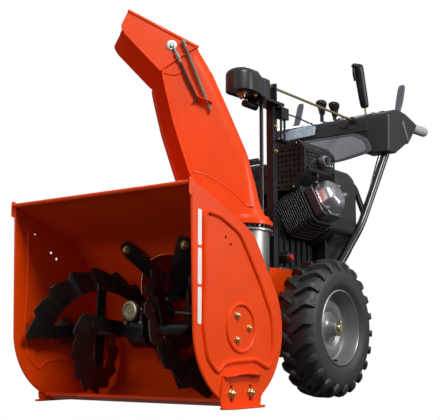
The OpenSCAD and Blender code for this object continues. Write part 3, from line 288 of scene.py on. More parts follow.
class Batch:
    """Collects several closed shapes into one piece."""

    def __init__(self):
        self.v, self.f = [], []

    def loft(self, rings, caps=True, closed=True):
        n, base = len(rings[0]), len(self.v)
        for r in rings:
            self.v.extend(Vector(p) for p in r)
        span = n if closed else n - 1
        for k in range(len(rings) - 1):
            for i in range(span):
                j = (i + 1) % n
                self.f.append((base + k * n + i, base + k * n + j, base + (k + 1) * n + j, base
                               + (k + 1) * n + i))
        if caps and closed:
            self.f.append(tuple(base + i for i in reversed(range(n))))
            self.f.append(tuple(base + (len(rings) - 1) * n + i for i in range(n)))

    def lathe(self, at, axis, profile, n=32, start=None, ring=False):
        """Profile of (along, radius) turned about the axis; a ring closes on its first point."""
        if ring:
            profile = profile + profile[:1]
        axis = Vector(axis).normalized()
        u = Vector(start) if start else axis.orthogonal().normalized()
        w = axis.cross(u)
        self.loft([[Vector(at) + axis * a + (u * cos(2 * pi * i / n)
                                             + w * sin(2 * pi * i / n)) * max(r, 0.01)
                    for i in range(n)] for a, r in profile], caps=not ring)

    def bolt(self, at, axis, r, washer=True):
        """Hex head on a washer, with the end of its thread."""
        at, axis = Vector(at), Vector(axis).normalized()
        h = 0.0
        if washer:
            self.lathe(at, axis, [(0, r * 2.1), (1.2, r * 2.1), (1.6, r * 1.9)], 20)
            h = 1.6
        self.lathe(at + axis * h, axis, [(0, r * 1.55), (0.3, r * 1.75), (r * 1.1, r * 1.75),
                                         (r * 1.35, r * 1.45)], 6)
        self.lathe(at + axis * h, axis, [(0, r), (r * 2.0, r), (r * 2.2, r * 0.8)], 14)

    def tube(self, pts, r, n=12, smooth=0):
        pts = [Vector(p) for p in pts]
        if smooth:
            pts = spline(pts, smooth)
        radii = r if isinstance(r, (list, tuple)) else [r] * len(pts)
        t = (pts[1] - pts[0]).normalized()
        u = t.orthogonal().normalized()
        rings = []
        for i, p in enumerate(pts):
            t = (pts[min(i + 1, len(pts) - 1)] - pts[max(i - 1, 0)]).normalized()
            u = (u - t * u.dot(t)).normalized()
            w = t.cross(u)
            rings.append([p + (u * cos(2 * pi * k / n) + w * sin(2 * pi * k / n)) * radii[i]
                          for k in range(n)])
        self.loft(rings)

    def block(self, at, size):
        x, y, z = at
        a, b, c = size
        self.loft([[(x, y, z), (x, y + b, z), (x + a, y + b, z), (x + a, y, z)],
                   [(x, y, z + c), (x, y + b, z + c), (x + a, y + b, z + c), (x + a, y, z + c)]])

    def done(self, name, mat, body="machine", **k):
        return piece(name, self.v, self.f, mat, body, **k)


def spline(p, n):
    """Smooth curve through the points, with n steps between two of them."""
    out = []
    for i in range(len(p) - 1):
        a, b, c, d = p[max(i - 1, 0)], p[i], p[i + 1], p[min(i + 2, len(p) - 1)]
        for k in range(n):
            t = k / n
            out.append(0.5 * ((2 * b) + (c - a) * t + (2 * a - 5 * b + 4 * c - d) * t * t
                              + (3 * b - a - 3 * c + d) * t ** 3))
    return out + [p[-1]]


def plane(origin, ax, ay):
    """Matrix that puts a flat outline in millimetres into the row frame."""
    ax, ay = Vector(ax).normalized(), Vector(ay).normalized()
    m = Matrix.Identity(4)
    for i, col in enumerate((ax, ay, ax.cross(ay))):
        for j in range(3):
            m[j][i] = col[j] * MM
    for j, v in enumerate(pt(origin)):
        m[j][3] = v
    return m


def plate(name, loops, place, thick, mat, body="machine", bevel=0.7, replaces=()):
    """Flat plate from an outline and its holes, with rounded edges, centred on its plane."""
    cu = bpy.data.curves.new(name, "CURVE")
    cu.dimensions, cu.fill_mode = "2D", "BOTH"
    cu.extrude, cu.bevel_depth, cu.offset, cu.bevel_resolution = max(thick / 2 - bevel,
                                                                     0.01), bevel, -bevel, 1
    for loop in loops:
        sp = cu.splines.new("POLY")
        sp.points.add(len(loop) - 1)
        for q, p in zip(sp.points, loop):
            q.co = (p[0], p[1], 0, 1)
        sp.use_cyclic_u = True
    ob = bpy.data.objects.new(name + "_outline", cu)
    bpy.context.scene.collection.objects.link(ob)
    me = bpy.data.meshes.new_from_object(ob)
    bpy.data.objects.remove(ob)
    bpy.data.curves.remove(cu)
    me.name = name
    me.transform(place)
    return finish_piece(name, me, mat, body, replaces)


def slot_hole(cx, cy, w, h, n=4):
    """Rounded slot w wide and h long."""
    r = w / 2
    return arc(cx, cy + h / 2 - r, r, 0, 180, n) + arc(cx, cy - h / 2 + r, r, 180, 360, n)


def rounded_poly(p, r, n=5):
    """Outline with its corners rounded; r is one radius or one for each corner."""
    out = []
    for i, b in enumerate(p):
        a, c = Vector(p[i - 1]), Vector(p[(i + 1) % len(p)])
        b = Vector(b)
        k = r[i] if isinstance(r, (list, tuple)) else r
        k = min(k, (a - b).length * 0.49, (c - b).length * 0.49)
        s, e = b + (a - b).normalized() * k, b + (c - b).normalized() * k
        for j in range(n + 1):
            t = j / n
            out.append(tuple(s * (1 - t) ** 2 + b * 2 * t * (1 - t) + e * t * t))
    return out


# ---------------------------------------------------------------- auger housing
AUGER = (208.0, 193.5)
PLATE_R = 187.5
FACE = 308.0
BOLT_TURNS = (0, 120, 240)
SHOE_BOLTS = (160, 240)
SLOPE_N = Vector((0, -0.805, -0.593))


def on_slope(x, up, off):
    """Point over the housing's sloping sheet."""
    return Vector((x, 366.5 - 0.593 * up, 285 + 0.805 * up)) + SLOPE_N * off


def side_outline():
    return [(9, 532)] + arc(*AUGER, PLATE_R, 180, 390, 60) + [(272, 427), (228, 452), (60, 520)]


BEAD = [(58, 470), (62, 300), (56, 196), (72, 120), (112, 86), (136, 108), (180, 113), (262, 116),
        (286, 110), (330, 92), (352, 140), (346, 224), (296, 308), (239, 384), (203, 430), (120, 462)]
BEAD_R = [26, 10, 10, 20, 14, 12, 4, 4, 12, 20, 24, 20, 30, 20, 26, 10]
SHOE = [(124, 1), (284, 1), (289, 20), (286, 74), (262, 79), (208, 84), (152, 79), (128, 74), (118, 20)]
SHOE_R = [10, 14, 8, 12, 30, 60, 30, 12, 8]


def housing():
    for s, n in ((1, "left"), (-1, "right")):
        face = FACE * s
        holes = [[(y + 5 * c, z + 5 * d) for c, d in ((1, 0), (0, 1), (-1, 0), (0, -1))]
                  for y, z in ((84, 460), (146, 412), (167, 396))]
        plate(n + "_side_sheet", [side_outline()] + holes, plane((face - 1.5 * s, 0, 0), Y, Z), 3,
              "orange_paint", replaces=[n + "_side_plate"])
        bead = Batch()
        loop = [(face, y, z) for y, z in rounded_poly(BEAD, BEAD_R, 5)]
        loop.append(loop[0])
        bead.tube(loop, 6.5, 10)
        ring = [(face, y, z) for y, z in arc(*AUGER, 58, 0, 360, 48)]
        bead.tube(ring, 5.0, 10)
        bead.done(n + "_side_beads", "orange_paint")
        # Folded edge along the front and round the bottom
        hem = Batch()
        hem.tube([(face - 1.5 * s, 11, 525)] + [(face - 1.5 * s, y, z)
                                                for y, z in arc(*AUGER, PLATE_R - 1, 180, 300, 30)], 3.2, 8)
        hem.done(n + "_side_hem", "orange_paint")
        tab = [(-1, 541), (12, 541), (26, 526), (24, 508), (10, 496), (-1, 500)]
        plate(n + "_corner_tab", [rounded_poly(tab, 5, 3)], plane((face + 1.2 * s, 0, 0), Y, Z), 2.4,
              "orange_paint")
        shoe = Batch()
        wall = rounded_poly(SHOE, SHOE_R, 5)
        slots = [slot_hole(y, 36, 11.5, 40, 5) for y in SHOE_BOLTS]
        plate(n + "_shoe_wall", [wall] + slots, plane((310.7 * s, 0, 0), Y, Z), 4.6, "orange_paint",
              replaces=[n + "_skid_shoe"])
        for z0, out, y0, y1, lift in ((2.5, 29, 120, 287, 0), (76, 20, 132, 282, 7)):
            rings = []
            for k in range(17):
                t = k / 16
                y = y0 + (y1 - y0) * t
                reach = out * min(1, sin(pi * min(max(t, 0.04), 0.96)) * 2.6) ** 0.5
                z = z0 + lift * sin(pi * t)
                q = [(308.6, z - 2.4), (309 + reach, z - 2.4), (310 + reach, z), (309 + reach, z + 2.4),
                     (308.6, z + 2.4)]
                rings.append([(x * s, y, zz) for x, zz in (q if s > 0 else q[::-1])])
            shoe.loft(rings)
        shoe.done(n + "_shoe_flanges", "orange_paint", bevel=0.8)
    edge = Batch()
    edge.loft([[(x, y, z) for y, z in arc(*AUGER, 190.7, 248, 268, 8) + arc(*AUGER, 185.9, 268, 248, 8)]
               for x in (-305, 305)])
    edge.done("scraper_edge", "orange_paint", replaces=["scraper_bar"], bevel=0.8)
    marks = Batch()
    for s in (1, -1):
        for i in range(3):
            z0 = 383 - i * 92
            q = rounded_poly([(34, z0), (48, z0), (48, z0 + 86), (34, z0 + 86)], 5, 4)
            x0, x1 = (308.1, 309.0) if s > 0 else (-309.0, -308.1)
            marks.loft([[(x0, y, zz) for y, zz in q], [(x1, y, zz) for y, zz in q]])
    marks.done("reflector_strips", "reflector", replaces=["side_reflectors"])
    # Bolts of the bearings, the shoes and the brace
    bolts = Batch()
    for s in (1, -1):
        for a in BOLT_TURNS:
            bolts.bolt((308.4 * s, 208 + 34 * cos(radians(a)), 193.5 + 34 * sin(radians(a))), X * s, 4)
        for y in SHOE_BOLTS:
            bolts.bolt((313.8 * s, y, 36), X * s, 5.5)
    for x in (-104, 104):
        bolts.bolt(on_slope(x, 180, 23.6), SLOPE_N, 6)
    for x in (-12, 12):
        bolts.bolt((x, 275, 272.7), Z, 3.6)
    bolts.done("housing_bolts", "yellow_zinc", replaces=["housing_fasteners"])


# ---------------------------------------------------------------- auger
def saw(t):
    t -= floor(t)
    return t / 0.8 if t < 0.8 else (1 - t) / 0.2


def augers():
    teeth, turn, steps = 9, 205.0, 180
    inner_end, width = 70, 201
    for s, n, a0 in ((1, "left", 105), (-1, "right", -15)):
        b = Batch()
        for k in (0, 180):
            rings = []
            for i in range(steps + 1):
                u = i / steps
                a = radians(a0 + k + turn * u)
                x = s * (inner_end + u * width)
                ro = 175 - 15 * (1 - saw(u * teeth))
                ri = 102 + 6 * sin(u * pi)
                c, d = cos(a), sin(a)
                lean, rm = 9 * s, (ri + ro) / 2
                q = [(x - 2 - lean, ri), (x + 2 - lean, ri), (x + 2, rm),
                     (x + 2 + lean, ro), (x - 2 + lean, ro), (x - 2, rm)]
                rings.append([(xx, AUGER[0] + r * c, AUGER[1] + r * d) for xx, r in q[::-1]])
            b.loft(rings)
            for u in (0.03, 0.5, 0.97):
                a = radians(a0 + k + turn * u)
                c, d = cos(a), sin(a)
                out, across = Vector((0, c, d)), Vector((0, -d, c))
                x = s * (inner_end + u * width)
                sec = lambda r, w: [Vector((xx, *AUGER)) + out * r + across * ww for xx, ww in
                                    ((x - 4 * s, -w), (x + 2 * s, -w), (x + 2 * s, w), (x - 4 * s, w))]
                b.loft([sec(17, 20), sec(60, 17), sec(128, 17)])
        b.lathe((s * 48, *AUGER), X * s, [(0, 19), (1, 20), (230, 20), (231, 19)], 28)
        b.done(n + "_auger_flights", "auger_black", "auger", replaces=[n + "_auger"], bevel=0.8)
        ends = Batch()
        for k in (0, 180):
            for u in (0.03, 0.5, 0.97):
                a = radians(a0 + k + turn * u)
                x = s * (inner_end + u * width) - 4.2
                ends.bolt((x, AUGER[0] + 118 * cos(a), AUGER[1] + 118 * sin(a)), -X, 3.4, False)
        ends.done(n + "_flight_bolts", "auger_black", "auger")


def gearcase():
    b = Batch()
    b.lathe((-41, *AUGER), X, [(0, 24), (2, 30), (8, 30), (9, 46), (12, 50), (70, 50), (73, 46), (74, 30),
                               (80, 30), (82, 24)], 40)
    b.lathe((0, 145, 240.5), Y, [(0, 25), (2, 28), (14, 28), (16, 25), (130, 25), (132, 28), (148, 28),
                                 (150, 26)], 36)
    for x in (-26, 26):
        b.lathe((x, 160, 214), Z, [(0, 8), (30, 8)], 16)
        b.lathe((x, 256, 214), Z, [(0, 8), (30, 8)], 16)
    rib = rounded_poly([(158, 168), (258, 168), (252, 262), (164, 262)], 12, 4)
    b.loft([[(-31, y, z) for y, z in rib], [(31, y, z) for y, z in rib]])
    b.done("gearcase_casting", "black_paint", replaces=["auger_gearcase"], bevel=1.2)
    # Two arms from the sloping sheet down to the casting
    arms = rounded_poly([(-22, 8), (22, 8), (40, 36), (128, 166), (122, 198), (90, 204), (0, 84),
                         (-90, 204), (-122, 198), (-128, 166), (-40, 36)],
                        [4, 4, 8, 16, 16, 10, 14, 10, 16, 16, 8], 4)
    plate("brace_arms", [arms], plane(on_slope(0, 0, 20.5), X, Vector((0, -0.593, 0.805))), 6,
          "black_paint", bevel=1.2,
          replaces=["gearcase_brace"])
    foot = Batch()
    foot.loft([[on_slope(x, v, 19) for x, v in ((-20, 8), (20, 8), (20, 34), (-20, 34))],
               [(-20, 262, 262), (20, 262, 262), (20, 292, 268), (-20, 292, 268)]][::-1])
    for x in (-104, 104):
        foot.lathe(on_slope(x, 180, 12), SLOPE_N, [(0, 17), (5.2, 15)], 24)
    foot.done("brace_foot", "black_paint", bevel=1)
    c = Batch()
    c.lathe((0, 147, 240.5), -Y, [(0, 24), (3, 26), (7, 26), (9, 23), (9, 19), (4, 17), (4, 8), (6, 6),
                                  (6, 0)], 40)
    for x, z in ((-26, 244), (26, 244), (-26, 210), (26, 210)):
        c.bolt((x, 158, z), -Y, 3.4, False)
    c.done("gearcase_plug", "yellow_zinc", replaces=["gearcase_cap"])


# ---------------------------------------------------------------- chute
BACK = [(498, -86), (548, -57), (605, -40), (674, -17), (728, 6), (785, 31), (850, 59), (912, 88),
        (960, 117), (986, 133)]
FRONT = [(498, 84), (540, 104), (580, 134), (620, 160), (680, 180), (767, 208), (850, 228), (896, 238),
         (914, 236), (986, 136)]


def chute():
    w, corner_steps = 88.0, 10
    rings = []
    for i in range(62):
        z = 498 + i * 8.0
        fb, ff = lerp_table(BACK, z), lerp_table(FRONT, z)
        rc = 82 - 56 * min(1, max(0, (z - 505) / 190.0)) ** 0.8
        right = [(w + 11, ff), (w + 2, ff), (w, ff - 3)]
        room = ff - 6 - (fb + rc)
        right += [(w, ff - 3 - room * k / 6) for k in range(1, 7)] if room > 0 else []
        right += [(w, fb + rc)] if room <= 0 else []
        turns = [pi / 2 * k / corner_steps for k in range(1, corner_steps + 1)]
        corner = [(w - rc + rc * cos(a), fb + rc - rc * sin(a)) for a in turns]
        mid = [(w - rc - (w - rc) * k / 3, fb) for k in range(1, 4)]
        half_line = right + corner + mid
        line = half_line + [(-u, f) for u, f in reversed(half_line[:-1])]
        rings.append([ch(u, f, z) for u, f in line])
    count = min(len(r) for r in rings)
    rings = [r if len(r) == count else resample(r, count) for r in rings]
    b = Batch()
    b.loft(rings, caps=False, closed=False)
    ob = b.done("chute_sheet", "orange_paint", "chute_set", replaces=["chute"])
    mod = ob.modifiers.new("thickness", "SOLIDIFY")
    mod.thickness, mod.offset = 2.6 * MM, 0.0
    base = Batch()
    at = (CHUTE[0], CHUTE[1], 487)
    base.lathe(at, Z, [(0, 88), (0, 99), (1, 101), (12, 101), (14, 99), (16, 93), (26, 91), (26, 88.5),
                       (15, 89)], 72, ring=True)
    base.done("chute_base_ring", "orange_paint", "chute_set")
    # Stamped line where the round foot meets the flat side
    for s in (1, -1):
        line = Batch()
        line.tube([ch(s * 88.6, f, z) for f, z in ((150, 628), (110, 618), (60, 590), (15, 556), (-2, 538),
                                                   (-28, 536))], 2.2, 8, 5)
        line.done("chute_stamping_" + ("near" if s > 0 else "far"), "orange_paint", "chute_set")
    gear = Batch()
    teeth = []
    for i in range(36):
        for da, r in ((-0.30, 90.4), (-0.18, 96.7), (0.18, 96.7), (0.30, 90.4)):
            a = (i + 0.5 + da) * pi / 18 + pi / 2
            teeth.append((CHUTE[0] + r * cos(a), CHUTE[1] + r * sin(a)))
    gear.loft([[(x, y, 478) for x, y in teeth], [(x, y, 487) for x, y in teeth]])
    gear.done("chute_ring_gear", "auger_black", "chute_set")
    br = Batch()
    q = rounded_poly([(0, -6), (24, -6), (26, 30), (20, 40), (0, 40)], 4, 3)
    br.loft([[ch(88 + a, 134 - c * 0.94, 833 - c * 0.34 + t) for a, c in q] for t in (0, 2.5)])
    br.done("spring_bracket", "orange_paint", "chute_set", bevel=0.5)


def resample(line, n):
    """n points evenly along a polyline."""
    d = [0.0]
    for a, b in zip(line, line[1:]):
        d.append(d[-1] + (b - a).length)
    out, k = [], 0
    for i in range(n):
        t = d[-1] * i / (n - 1)
        while k < len(d) - 2 and d[k + 1] < t:
            k += 1
        f = (t - d[k]) / max(d[k + 1] - d[k], 1e-9)
        out.append(line[k].lerp(line[k + 1], min(1, max(0, f))))
    return out


def deflector():
    outline = rounded_poly([(133, 987), (332, 1079), (355, 1028), (343, 1007), (241, 905), (214, 897),
                            (190, 899), (168, 918), (145, 952)],
                           [4, 5, 10, 8, 12, 20, 24, 24, 16], 5)
    for s in (1, -1):
        plate("deflector_side_" + ("near" if s > 0 else "far"), [outline],
              plane(ch(s * 90.8, 0, 0), FWD, Z), 2.6, "orange_paint", "deflector",
              replaces=["chute_deflector"] if s > 0 else ())
    rings = []
    for f, z in ((132, 986.5), (333, 1079.5)):
        down = [(-92, -9)] + [(-92 + 7 - 7 * cos(a), -7 + 7 * sin(a)) for a in (0.4, 0.8, 1.2, 1.57)]
        line = down + [(-u, v) for u, v in reversed(down)]
        rings.append([ch(u, f - v * 0.42, z + v * 0.9) for u, v in line])
    top = Batch()
    top.loft(rings, caps=False, closed=False)
    ob = top.done("deflector_top", "orange_paint", "deflector")
    mod = ob.modifiers.new("thickness", "SOLIDIFY")
    mod.thickness, mod.offset = 2.4 * MM, -1.0
    w = Batch()
    for s in (1, -1):
        w.lathe(ch(s * 92.2, 211, 983), LAT * s, [(0, 15), (1.8, 15), (2.4, 14), (2.4, 8)], 28)
        w.lathe(ch(s * 94.5, 211, 983), LAT * s, [(0, 6.5), (4, 6.5), (5, 5)], 6)
    w.done("hinge_washers", "zinc", "deflector", replaces=["deflector_hinge_bolts"])
    # Control cable with its threaded adjuster
    steel = Batch()
    steel.tube([ch(99, 206, 976), ch(99, 199, 960), ch(99, 192, 944)], 3.0, 12)
    steel.lathe(ch(99, 200, 962), ch(99, 186, 930) - ch(99, 200, 962),
                [(0, 4), (2, 5.5), (14, 5.5), (16, 7.5), (20, 7.5), (21, 5), (30, 5)], 8)
    steel.done("cable_adjuster", "zinc", "chute_set")
    black = Batch()
    start, end = ch(99, 186, 930), ch(97, 141, 836)
    black.tube([start, start.lerp(end, 0.5) + FWD * 3, end, end - Z * 9 + FWD * 3, end - Z * 13 + FWD * 8],
               3.0, 10, 5)
    for i in range(26):
        c = start.lerp(end, i / 25)
        black.lathe(c, end - start, [(-1.3, 3.2), (-0.6, 4.3), (0.6, 4.3), (1.3, 3.2)], 10)
    black.done("deflector_cable_cover", "cable", "chute_set", replaces=["deflector_cable"])
    # Tension spring
    p, q = ch(101, 176, 984), ch(98.5, 100, 800)
    axis = (q - p).normalized()
    u = axis.orthogonal().normalized()
    v = axis.cross(u)
    coil, turns = Batch(), 44
    total = (q - p).length
    pts = [p + axis * (total * i / (turns * 8)) + (u * cos(i * pi / 4) + v * sin(i * pi / 4)) * 4.6
           for i in range(turns * 8 + 1)]
    coil.tube(pts, 1.25, 5)
    coil.tube([p, q], 2.9, 10)
    coil.lathe(p - axis * 14, axis, [(0, 4), (1, 6), (12, 6), (16, 4.4)], 8)
    coil.done("tension_spring", "zinc", "spring", replaces=["deflector_spring"])


# ---------------------------------------------------------------- chute drive
CRANK_X = 110
UPRIGHT = (110, 599.6)
LEVER_Y = 1262
PADDLE = (1310, 958)


def gear_cover():
    def plan(d):
        nose = [pi * k / 20 for k in range(21)]
        return ([(110 + (45 - d) * cos(a), 492 - (45 - d) * sin(a)) for a in nose]
                + [(68 + d * 0.6, 530), (80 + d, 586), (84 + d, 612 - d),
                   (126 - d, 612 - d), (130 - d, 586), (152 - d * 0.6, 530)])

    b = Batch()
    levels = [(896, 5), (890, 1.5), (893, 0), (940, 0)]
    levels += [(940 + 20 * sin(a), 22 * (1 - cos(a))) for a in (0.3, 0.6, 0.9, 1.2, 1.45)] + [(961.5, 30)]
    b.loft([[(x, y, z) for x, y in plan(d)] for z, d in levels])
    # Rear box behind the seam
    b.loft([[(x, y, z) for x, y in rounded_poly([(80 + d, 586), (80 + d, 622), (130 - d, 622),
                                                 (130 - d, 586)], 5, 3)]
            for z, d in ((889, 2), (891, 0), (950, 0), (955, 2), (958, 7))])
    b.done("gear_cover_shell", "charcoal", replaces=["chute_gear_cover"], bevel=1.0)
    brass = Batch()
    brass.lathe((110, 500, 890), -Z, [(0, 16), (4, 16), (4, 10), (12, 10), (14, 8), (14, 0)], 24)
    for x, y in ((84, 530), (136, 530), (128, 486)):
        brass.bolt((x, y, 891), -Z, 3.5)
    brass.done("cover_screws", "yellow_zinc")
    rod = Batch()
    rod.lathe((110, 600, 945), Y, [(0, 7), (6, 10), (7, 4.2), (693, 4.2), (694, 3.4)], 16)
    rod.done("crank_rod_bright", "yellow_zinc", "chute_crank", replaces=["chute_crank_rod"])
    # Upright shaft with the pinion that turns the chute
    shaft = Batch()
    shaft.lathe((*UPRIGHT, 476), Z, [(0, 5.5), (1, 6), (438, 6), (439, 9), (444, 9)], 20)
    teeth = []
    for i in range(12):
        for d, r in ((-0.3, 27.8), (-0.16, 33.6), (0.16, 33.6), (0.3, 27.8)):
            a = (i + d) * pi / 6 - pi / 2
            teeth.append((UPRIGHT[0] + r * cos(a), UPRIGHT[1] + r * sin(a)))
    shaft.loft([[(x, y, z) for x, y in teeth] for z in (478, 487)])
    shaft.done("chute_drive_upright", "black_paint", "chute_drive", replaces=["chute_drive_shaft"])


def controls():
    # Pistol grip that turns the chute
    b = Batch()
    path = [(1279, 1011, 13, 14), (1275, 1020, 15.5, 17), (1262, 1060, 16.5, 19), (1250, 1100, 17, 18),
            (1240, 1130, 18, 19),
            (1232, 1148, 19, 22), (1229, 1158, 18, 22), (1228, 1164, 12, 16), (1228, 1166, 3, 6)]
    b.loft([[(CRANK_X + rx * cos(a), y + ry * sin(a), z + ry * sin(a) * 0.28) for a in angles(24)]
            for y, z, rx, ry in path])
    b.loft([[(CRANK_X + rx * cos(a), y, z + rz * sin(a)) for a in angles(20)]
            for y, z, rx, rz in ((1240, 1152, 14, 11), (1215, 1153, 14, 11), (1200, 1153, 12, 9),
                                 (1193, 1152, 8, 6), (1190, 1151, 2, 2))])
    b.done("chute_pistol_grip", "knob_black", "chute_crank", replaces=["chute_handle"], sub=1)
    c = Batch()
    c.tube([(110, 1285, 956), (110, 1283, 985), (110, 1279, 1014)], 4.2, 12)
    c.lathe((110, 1280, 945), Y, [(0, 10), (12, 10)], 24)
    c.done("grip_stem", "yellow_zinc", "chute_crank")
    t = Batch()
    t.loft([[(110 + u, 1196 + v, z) for u, v in ((-4, -3), (4, -3), (5, 4), (-5, 4))] for z in (1143, 1120)]
           + [[(110 + u, 1203 + v, 1096) for u, v in ((-3, -2), (3, -2), (3, 3), (-3, 3))]])
    t.done("grip_trigger", "knob_black", "trigger", replaces=["chute_trigger"], bevel=1.2)
    # Two knobs on the speed and deflector levers
    knob = [(-58, 2, 7, 8), (-50, 2, 8, 10), (-34, 0, 9, 13), (-22, -2, 13, 19), (-12, -3, 15, 22),
            (-4, -3, 13, 19), (0, -3, 5, 8)]
    for name, lever, x, top in (("speed_knob", "speed_lever", -62, 1066),
                                ("deflector_knob", "deflector_lever", -8, 1050)):
        b = Batch()
        b.loft([[(x + 1.35 * rx * cos(a), LEVER_Y + y + 1.25 * ry * sin(a), top + z) for a in angles(20)]
                for z, y, rx, ry in knob])
        b.done(name, "knob_black", lever, replaces=[lever], sub=1)
        s = Batch()
        s.loft([[(x + u, LEVER_Y + v, z) for u, v in ((-3, -9), (3, -9), (3, 9), (-3, 9))]
                for z in (918, top - 50)])
        s.lathe((x - 5, LEVER_Y, 924), X, [(0, 9), (10, 9)], 20)
        s.done(name + "_arm", "auger_black", lever, bevel=0.6)
    # Clutch paddles
    for s, n in ((1, "left"), (-1, "right")):
        b = Batch()
        x, rings = 216 * s, []
        for t in range(13):
            u = t / 12
            h = 8 + 134 * u
            w = lerp_table([(0, 8), (0.18, 12), (0.5, 15), (0.9, 15), (1, 10)], u)
            d = lerp_table([(0, 6), (0.2, 4.5), (0.9, 3.4), (1, 2)], u)
            back = tan(radians(22)) * h + 3 * sin(u * pi)
            rings.append([(x + w * copysign(abs(cos(a)) ** 0.55, cos(a)),
                           PADDLE[0] + back + d * copysign(abs(sin(a)) ** 0.8, sin(a)),
                           PADDLE[1] + h) for a in angles(20)])
        b.loft(rings)
        b.loft([[(x + u, PADDLE[0] + lean + v, z) for u, v in ((-2, 0), (2, 0), (2, 5), (-2, 5))]
                for lean, z in ((16, 986), (46, 1074))])
        b.lathe((x - 8, *PADDLE), X, [(0, 9), (16, 9)], 20)
        b.done(n + "_clutch_paddle", "paddle_grey", n + "_clutch", replaces=[n + "_clutch_lever"],
               bevel=0.5)


def dash():
    mid = [(1176, 897), (1182, 953), (1228, 976), (1303, 982), (1405, 948), (1358, 897)]
    cheek = [(1173, 815), (1182, 953), (1228, 976), (1303, 982), (1405, 948), (1335, 875), (1228, 815)]
    b = Batch()
    r = lambda p, k: rounded_poly(p, k, 4)
    b.loft([[(x, y, z) for y, z in r(mid, [6, 14, 30, 40, 6, 10])] for x in (-168, 168)])
    for s in (1, -1):
        rings = []
        for x, d in ((164, 2), (167, 0), (246, 0), (250, 3.5)):
            c = (1270, 905)
            q = r(cheek, [6, 14, 30, 40, 6, 16, 12])
            rings.append([(x * s, y + (c[0] - y) * d / 90, z + (c[1] - z) * d / 90)
                          for y, z in (q if s > 0 else q[::-1])])
        b.loft(rings)
    b.done("dash_shell", "charcoal", replaces=["dash"], bevel=1.5, segments=3)
    # Faceted end caps where the handlebars leave the dash
    for s in (1, -1):
        e = Batch()
        out = [(1330, 868), (1400, 944), (1404, 954), (1372, 962), (1310, 976), (1286, 940)]
        e.loft([[(x * s, y + (1350 - y) * d, z + (925 - z) * d) for y, z in (out if s > 0 else out[::-1])]
                for x, d in ((198, 0), (250.5, 0), (257, 0.25))])
        e.done(("left" if s > 0 else "right") + "_dash_end", "charcoal", bevel=1.5)
    panel = rounded_poly([(-128, 894), (128, 894), (178, 866), (190, 820), (60, 797), (-60, 797),
                          (-190, 820), (-178, 866)],
                         [20, 20, 26, 14, 60, 60, 14, 26], 8)
    plate("dash_trim_panel", [panel], plane((0, 1167.5, 0), X, Z), 9, "paddle_grey", bevel=2.5,
          replaces=["dash_trim"])
    inner = rounded_poly([(-116, 884), (116, 884), (160, 860), (172, 826), (58, 806), (-58, 806),
                          (-172, 826), (-160, 860)], 16, 6)
    plate("dash_trim_inlay", [inner], plane((0, 1163.2, 0), X, Z), 1.6, "trim_grey", bevel=0.5)
    lens = rounded_poly([(-198, 904), (-190, 928), (-150, 944), (-42, 950), (-36, 940), (-42, 910)],
                        [5, 10, 20, 4, 4, 5], 5)
    plate("headlight_lens", [lens], plane((0, 1171, 0), X, Z), 10, "lens", bevel=3, replaces=["headlight"])
    d = Batch()
    for x in (-30, 60, 130):
        d.lathe((x, 1180.5, 930), -Y, [(0, 5), (2, 5), (3, 3.5), (3, 0)], 12)
    d.lathe((110, 1178, 945), -Y, [(-2, 12), (4, 12), (5, 9), (5, 5.5)], 20)
    d.done("dash_screws", "knob_black")
    rib = Batch()
    for x in (165, -165):
        rib.tube([(x, 1173.5, 812), (x, 1177.5, 880), (x, 1180.2, 950), (x, 1228, 977.5), (x, 1303, 983),
                  (x, 1400, 950.5)], 1.2, 6)
    rib.done("dash_seams", "dark_inside")
    # Plain printed strips beside the lever slots
    for i, (x0, x1, m) in enumerate(((-110, -84, "paddle_grey"), (20, 60, "paddle_grey"),
                                     (186, 206, "button_red"))):
        st = Batch()
        st.loft([[(x0, y, z), (x1, y, z), (x1, y, z + 0.8), (x0, y, z + 0.8)]
                 for y, z in ((1232, 976.3), (1262, 979.3), (1296, 981.8))])
        st.done("dash_strip_%d" % i, m)


# ---------------------------------------------------------------- engine
def perforated(name, w, l, place, mat="muffler_black", pitch=(13.0, 10.5), hole=(5.5, 8.5), margin=7):
    """Guard sheet with rows of slots; w across, l along."""
    loops = [rounded_poly([(0, 0), (w, 0), (w, l), (0, l)], 3, 3)]
    rows, cols = int((l - 2 * margin) / pitch[0]), int((w - 2 * margin) / pitch[1])
    for i in range(rows):
        for j in range(cols):
            if (i * 3 + j * 5) % 11 == 0:
                continue
            cx = margin + (j + 0.5) * (w - 2 * margin) / cols
            cy = margin + (i + 0.5) * (l - 2 * margin) / rows
            loops.append(slot_hole(cx, cy, hole[0], hole[1], 3))
    plate(name, loops, place, 1.4, mat, bevel=0.3)


